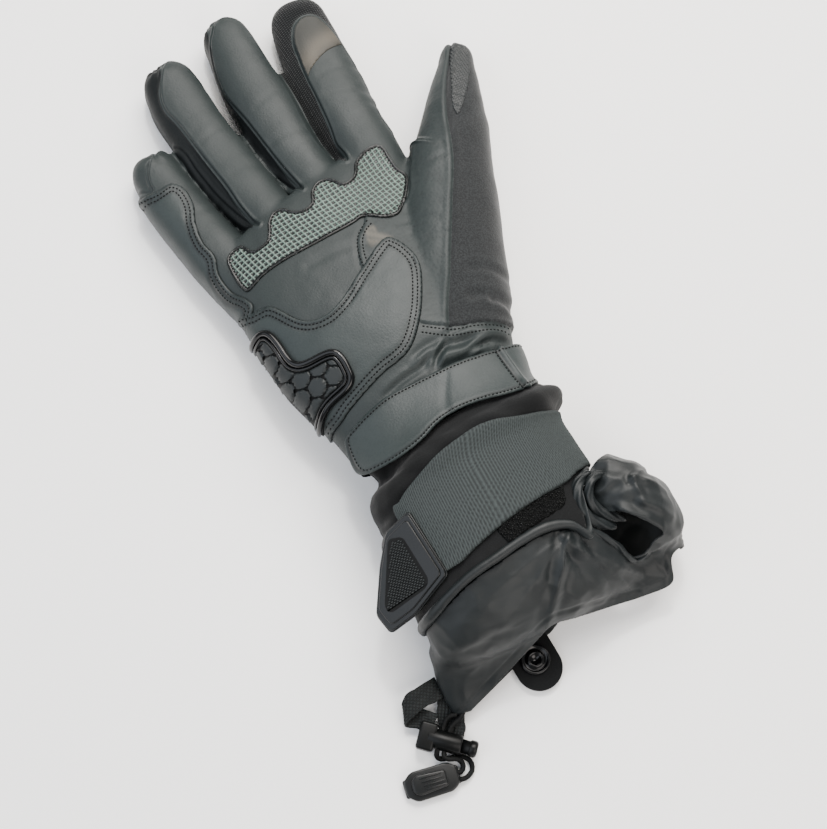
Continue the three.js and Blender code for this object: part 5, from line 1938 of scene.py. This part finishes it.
@dataclass
class Drawcord:
    """The two elastic cords with their lock, its button, the end pull and the webbing loop.

    Attributes:
        outer: The outer cord's route in the row's frame, in metres.
        inner: The inner cord's route.
        radius: A cord's radius.
    """

    outer: tuple[tuple[float, float, float], ...] = (
        (-0.0703, -0.1638, 0.0050), (-0.0731, -0.1629, 0.0052), (-0.0757, -0.1636, 0.0048),
        (-0.0777, -0.1653, 0.0046), (-0.0818, -0.1694, 0.0046), (-0.0851, -0.1727, 0.0046),
        (-0.0864, -0.1745, 0.0034), (-0.0854, -0.1762, 0.0018), (-0.0827, -0.1774, 0.0012),
        (-0.0795, -0.1788, 0.0012), (-0.0765, -0.1804, 0.0012), (-0.0749, -0.1834, 0.0012),
        (-0.0761, -0.1868, 0.0014), (-0.0795, -0.1883, 0.0020), (-0.0827, -0.1878, 0.0024),
    )
    inner: tuple[tuple[float, float, float], ...] = (
        (-0.0671, -0.1640, 0.0050), (-0.0697, -0.1658, 0.0050), (-0.0727, -0.1664, 0.0048),
        (-0.0755, -0.1674, 0.0046), (-0.0797, -0.1715, 0.0046), (-0.0829, -0.1747, 0.0046),
        (-0.0837, -0.1765, 0.0049), (-0.0825, -0.1782, 0.0050), (-0.0800, -0.1794, 0.0042),
        (-0.0784, -0.1816, 0.0028), (-0.0789, -0.1840, 0.0020), (-0.0807, -0.1850, 0.0021),
        (-0.0827, -0.1847, 0.0022),
    )
    radius: float = 1.1

    def build(self) -> None:
        """Makes every piece of the drawcord."""
        pull = self.pull()
        lock = self.lock()
        self.plunger()
        for name, route in (("drawcord_outer", self.outer), ("drawcord_inner", self.inner)):
            self.cord(name, route, pull, lock)
        self.webbing()

    def cord(self, name: str, route: tuple, pull: bpy.types.Object, lock: bpy.types.Object) -> None:
        """Makes one stretch of elastic cord along its route.

        Args:
            name: The node that it stands for.
            route: Its points in the row's frame, in metres.
            pull: The end pull that it runs into; not used.
            lock: The lock that it runs through; not used.
        """
        path = curve([tuple(TO_FRAME.inverted() @ Vector(p)) for p in route], 0.5)

        def place(u: Points, v: Points) -> Points:
            """A point of the cord.

            Args:
                u: Where round it.
                v: Where along it.

            Returns:
                One point for each u and v.
            """
            at = between(path, v)
            run = between(np.gradient(path, axis=0), v)
            run /= np.linalg.norm(run, axis=1)[:, None]
            side = np.cross(run, (0, 0, 1.0))
            side /= np.linalg.norm(side, axis=1)[:, None]
            up = np.cross(side, run)
            braid = 1 + 0.05 * np.cos(2 * math.pi * (6 * u + v * len(path) * 0.5 / 1.6))
            return at + self.radius * braid[:, None] * (
                side * np.cos(2 * math.pi * u)[:, None] + up * np.sin(2 * math.pi * u)[:, None]
            )

        bm = mapped(24, len(path) * 2, place, True)
        bmesh.ops.holes_fill(bm, edges=[e for e in bm.edges if e.is_boundary])
        bmesh.ops.recalc_face_normals(bm, faces=bm.faces)
        piece = finish_piece(bm, name + "_cord", BRAID, stands_for=(name,))

    def lock_place(self) -> Matrix:
        """Where the lock lies, with its barrel along its own X axis."""
        return Matrix.Translation((-66.5, -122.2, 4.6)) @ Matrix.Rotation(math.radians(-45), 4, "Z")

    def lock(self) -> bpy.types.Object:
        """Makes the barrel lock: a block with rounded edges and a round barrel with its bore.

        Returns:
            The lock.
        """
        place = self.lock_place()
        block = bmesh.new()
        bmesh.ops.create_cube(
            block, size=1.0, matrix=Matrix.Translation((3.8, 0, 0)) @ Matrix.Diagonal((7.6, 12, 8, 1))
        )
        bmesh.ops.bevel(
            block, geom=block.edges, offset=1.2, segments=4, profile=0.5, material=-1, affect="EDGES"
        )
        barrel = turned(
            ((0.01, 4), (3.9, 4), (4.3, 4.6), (4.3, 18.3), (4.0, 19), (3.3, 19), (3.3, 14.6), (0.01, 14.6)),
            Matrix.Rotation(math.pi / 2, 4, "Y"), 40,
        )
        bm = merged([block, barrel])
        bm.transform(place)
        return finish_piece(bm, "cord_lock_barrel", DARK_ACETAL, stands_for=("cord_lock",))

    def plunger(self) -> None:
        """Makes the button that is pressed into the barrel."""
        place = self.lock_place() @ Matrix.Rotation(math.pi / 2, 4, "Y")
        profile = (
            (0.01, 26), (2.6, 26), (3.3, 25.6), (3.6, 24.9), (3.6, 22.9), (3.2, 22.5), (3.0, 22.3),
            (3.0, 18), (0.01, 18)
        )
        finish_piece(
            turned(profile, place, 40), "lock_plunger", DARK_ACETAL, body="lock_button",
            stands_for=("lock_button",)
        )

    def pull(self) -> bpy.types.Object:
        """Makes the moulded end pull: a base, a raised panel with ribs, and a lip.

        Returns:
            The end pull.
        """
        place = Matrix.Translation((-62, -144.4, 0)) @ Matrix.Rotation(math.radians(166.8), 4, "Z")
        body = (
            (-2, -3.6), (1.5, -6.2), (17.5, -6.4), (21.4, -3.4), (21.4, 3), (17.5, 6.4), (1.5, 6.2), (-2, 3.6)
        )
        panel = ((3.0, -3.4), (15.6, -4.4), (18.2, -2.2), (18.2, 2.6), (15.6, 4.4), (3.0, 3.6))
        waist = ((-2.6, -4.0), (21.8, -4.0), (21.8, 4.0), (-2.6, 4.0))
        parts = [slab(body, 0.2, 3.9, 1.6), slab(panel, 3.6, 5.9, 1.2), slab(waist, 1.2, 2.9, 1.0)]
        for one in parts:
            level = [
                e for e in one.edges
                if abs(e.verts[0].co.z - e.verts[1].co.z) < 0.1 and len(e.link_faces) == 2
                and abs(e.link_faces[0].normal.z) + abs(e.link_faces[1].normal.z) > 0.5
                and abs(e.link_faces[0].normal.dot(e.link_faces[1].normal)) < 0.5
            ]
            bmesh.ops.bevel(one, geom=level, offset=0.8, segments=4, profile=0.5, material=-1, affect="EDGES")
        for k in range(4):
            rib = bmesh.new()
            shape = Matrix.Translation((9.8 - k * 0.5, -2.5 + k * 1.65, 5.9))
            shape = shape @ Matrix.Diagonal((9.6, 0.7, 0.8, 1))
            bmesh.ops.create_cube(rib, size=1.0, matrix=shape)
            bmesh.ops.bevel(
                rib, geom=rib.edges, offset=0.25, segments=2, profile=0.5, material=-1, affect="EDGES"
            )
            parts.append(rib)
        bm = merged(parts)
        bm.transform(place)
        return finish_piece(bm, "cord_end_pull", ACETAL, stands_for=("end_pull",))

    def webbing(self) -> None:
        """Makes the ribbed tape at the skirt's corner: a folded loop, and a strip under the cords."""
        parts = []
        for table, low in ((WEBBING_LOOP, 0.5), (WEBBING_STRIP, 0.1)):
            rows = np.array(table, float)

            def place(u: Points, v: Points) -> Points:
                """A point of the tape.

                Args:
                    u: Where across it.
                    v: Where along it.

                Returns:
                    One point for each u and v.
                """
                row = smooth_rows(rows, v)
                ahead = (
                    smooth_rows(rows, np.clip(v + 0.02, 0, 1)) - smooth_rows(rows, np.clip(v - 0.02, 0, 1))
                )
                run = ahead[:, :3] / np.linalg.norm(ahead[:, :3], axis=1)[:, None]
                aim = np.radians(row[:, 3])
                side = np.stack([np.cos(aim), np.sin(aim), np.zeros(len(v))], axis=1)
                up = np.cross(side, run)
                up /= np.linalg.norm(up, axis=1)[:, None]
                rib = 0.16 * np.cos(2 * math.pi * (u * 7 + v * 2.5))
                return row[:, :3] + side * ((u - 0.5) * row[:, 4])[:, None] + up * (low + rib)[:, None]

            parts.append(mapped(56, 90, place, False))
        bm = merged(parts)
        finish_piece(bm, "webbing_tape", TAPE, stands_for=("webbing_loop",), wall=1.0)


@dataclass
class Studio:
    """The floor, the lights and the camera.

    Attributes:
        turn: Degrees round from the glove's own front.
        height: Degrees above the floor.
        away: Millimetres from the aim point.
        pixel: Millimetres that one pixel of the photo shows.
        picture: The photo's width in pixels.
    """

    turn: float = -30.0
    height: float = 74.0
    away: float = 720.0
    pixel: float = 0.44
    picture: int = 829

    def build(self) -> None:
        """Makes the camera, the lights and the floor."""
        a, e = math.radians(self.turn), math.radians(self.height)
        back = Vector((math.sin(a) * math.cos(e), -math.cos(a) * math.cos(e), math.sin(e)))
        aim = TO_FRAME @ Vector((0, 0, 20))
        camera = bpy.data.cameras.new("camera")
        camera.sensor_width = 36.0
        camera.lens = 36.0 * (self.away / self.pixel) / self.picture
        camera.shift_x = 3.5 / self.picture
        camera.shift_y = -4.5 / self.picture
        camera.clip_start = 0.01
        camera.clip_end = 50.0
        seen = bpy.data.objects.new("camera", camera)
        seen.location = aim + back * self.away / 1000
        seen.rotation_mode = "QUATERNION"
        seen.rotation_quaternion = (-back).to_track_quat("-Z", "Y")
        bpy.context.scene.collection.objects.link(seen)
        bpy.context.scene.camera = seen
        for name, x, y, z, size, watts, colour in (
            ("window", 460, 420, 850, 0.9, 27, "#fffaf4"), ("fill", -700, 100, 700, 1.0, 8, "#eef4ff"),
            ("near", 100, -700, 600, 0.6, 6, "#fff8f2"), ("spot", 240, 420, 950, 0.1, 5, "#ffffff"),
        ):
            light = bpy.data.lights.new(name, "AREA")
            light.energy = watts
            light.size = size
            light.color = linear(colour)[:3]
            lamp = bpy.data.objects.new(name, light)
            lamp.location = Vector((x, y, z)) / 1000
            lamp.rotation_mode = "QUATERNION"
            lamp.rotation_quaternion = lamp.location.to_track_quat("Z", "Y")
            bpy.context.scene.collection.objects.link(lamp)
        world = bpy.data.worlds.new("room")
        world.use_nodes = True
        world.node_tree.nodes["Background"].inputs["Color"].default_value = (1.0, 1.0, 1.0, 1.0)
        world.node_tree.nodes["Background"].inputs["Strength"].default_value = 0.42
        bpy.context.scene.world = world
        floor = bmesh.new()
        bmesh.ops.create_grid(floor, x_segments=1, y_segments=1, size=3.0)
        mesh = bpy.data.meshes.new("floor")
        floor.to_mesh(mesh)
        floor.free()
        mat = bpy.data.materials.new("pale board")
        mat.use_nodes = True
        shader = mat.node_tree.nodes["Principled BSDF"]
        shader.inputs["Base Color"].default_value = linear("#fdfdfc")
        shader.inputs["Roughness"].default_value = 0.9
        mesh.materials.append(mat)
        board = bpy.data.objects.new("floor", mesh)
        board.location.z = -0.0003
        bpy.context.scene.collection.objects.link(board)


def main() -> None:
    """Builds the studio and every part of the glove in order."""
    logging.basicConfig(level=logging.INFO, format="%(name)s: %(message)s")
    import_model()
    for part in (Studio(), Drawcord(), Hand(), Cuff(), Skirt()):
        LOG.info("building %s", type(part).__name__)
        part.build()


if __name__ == "__main__":
    main()
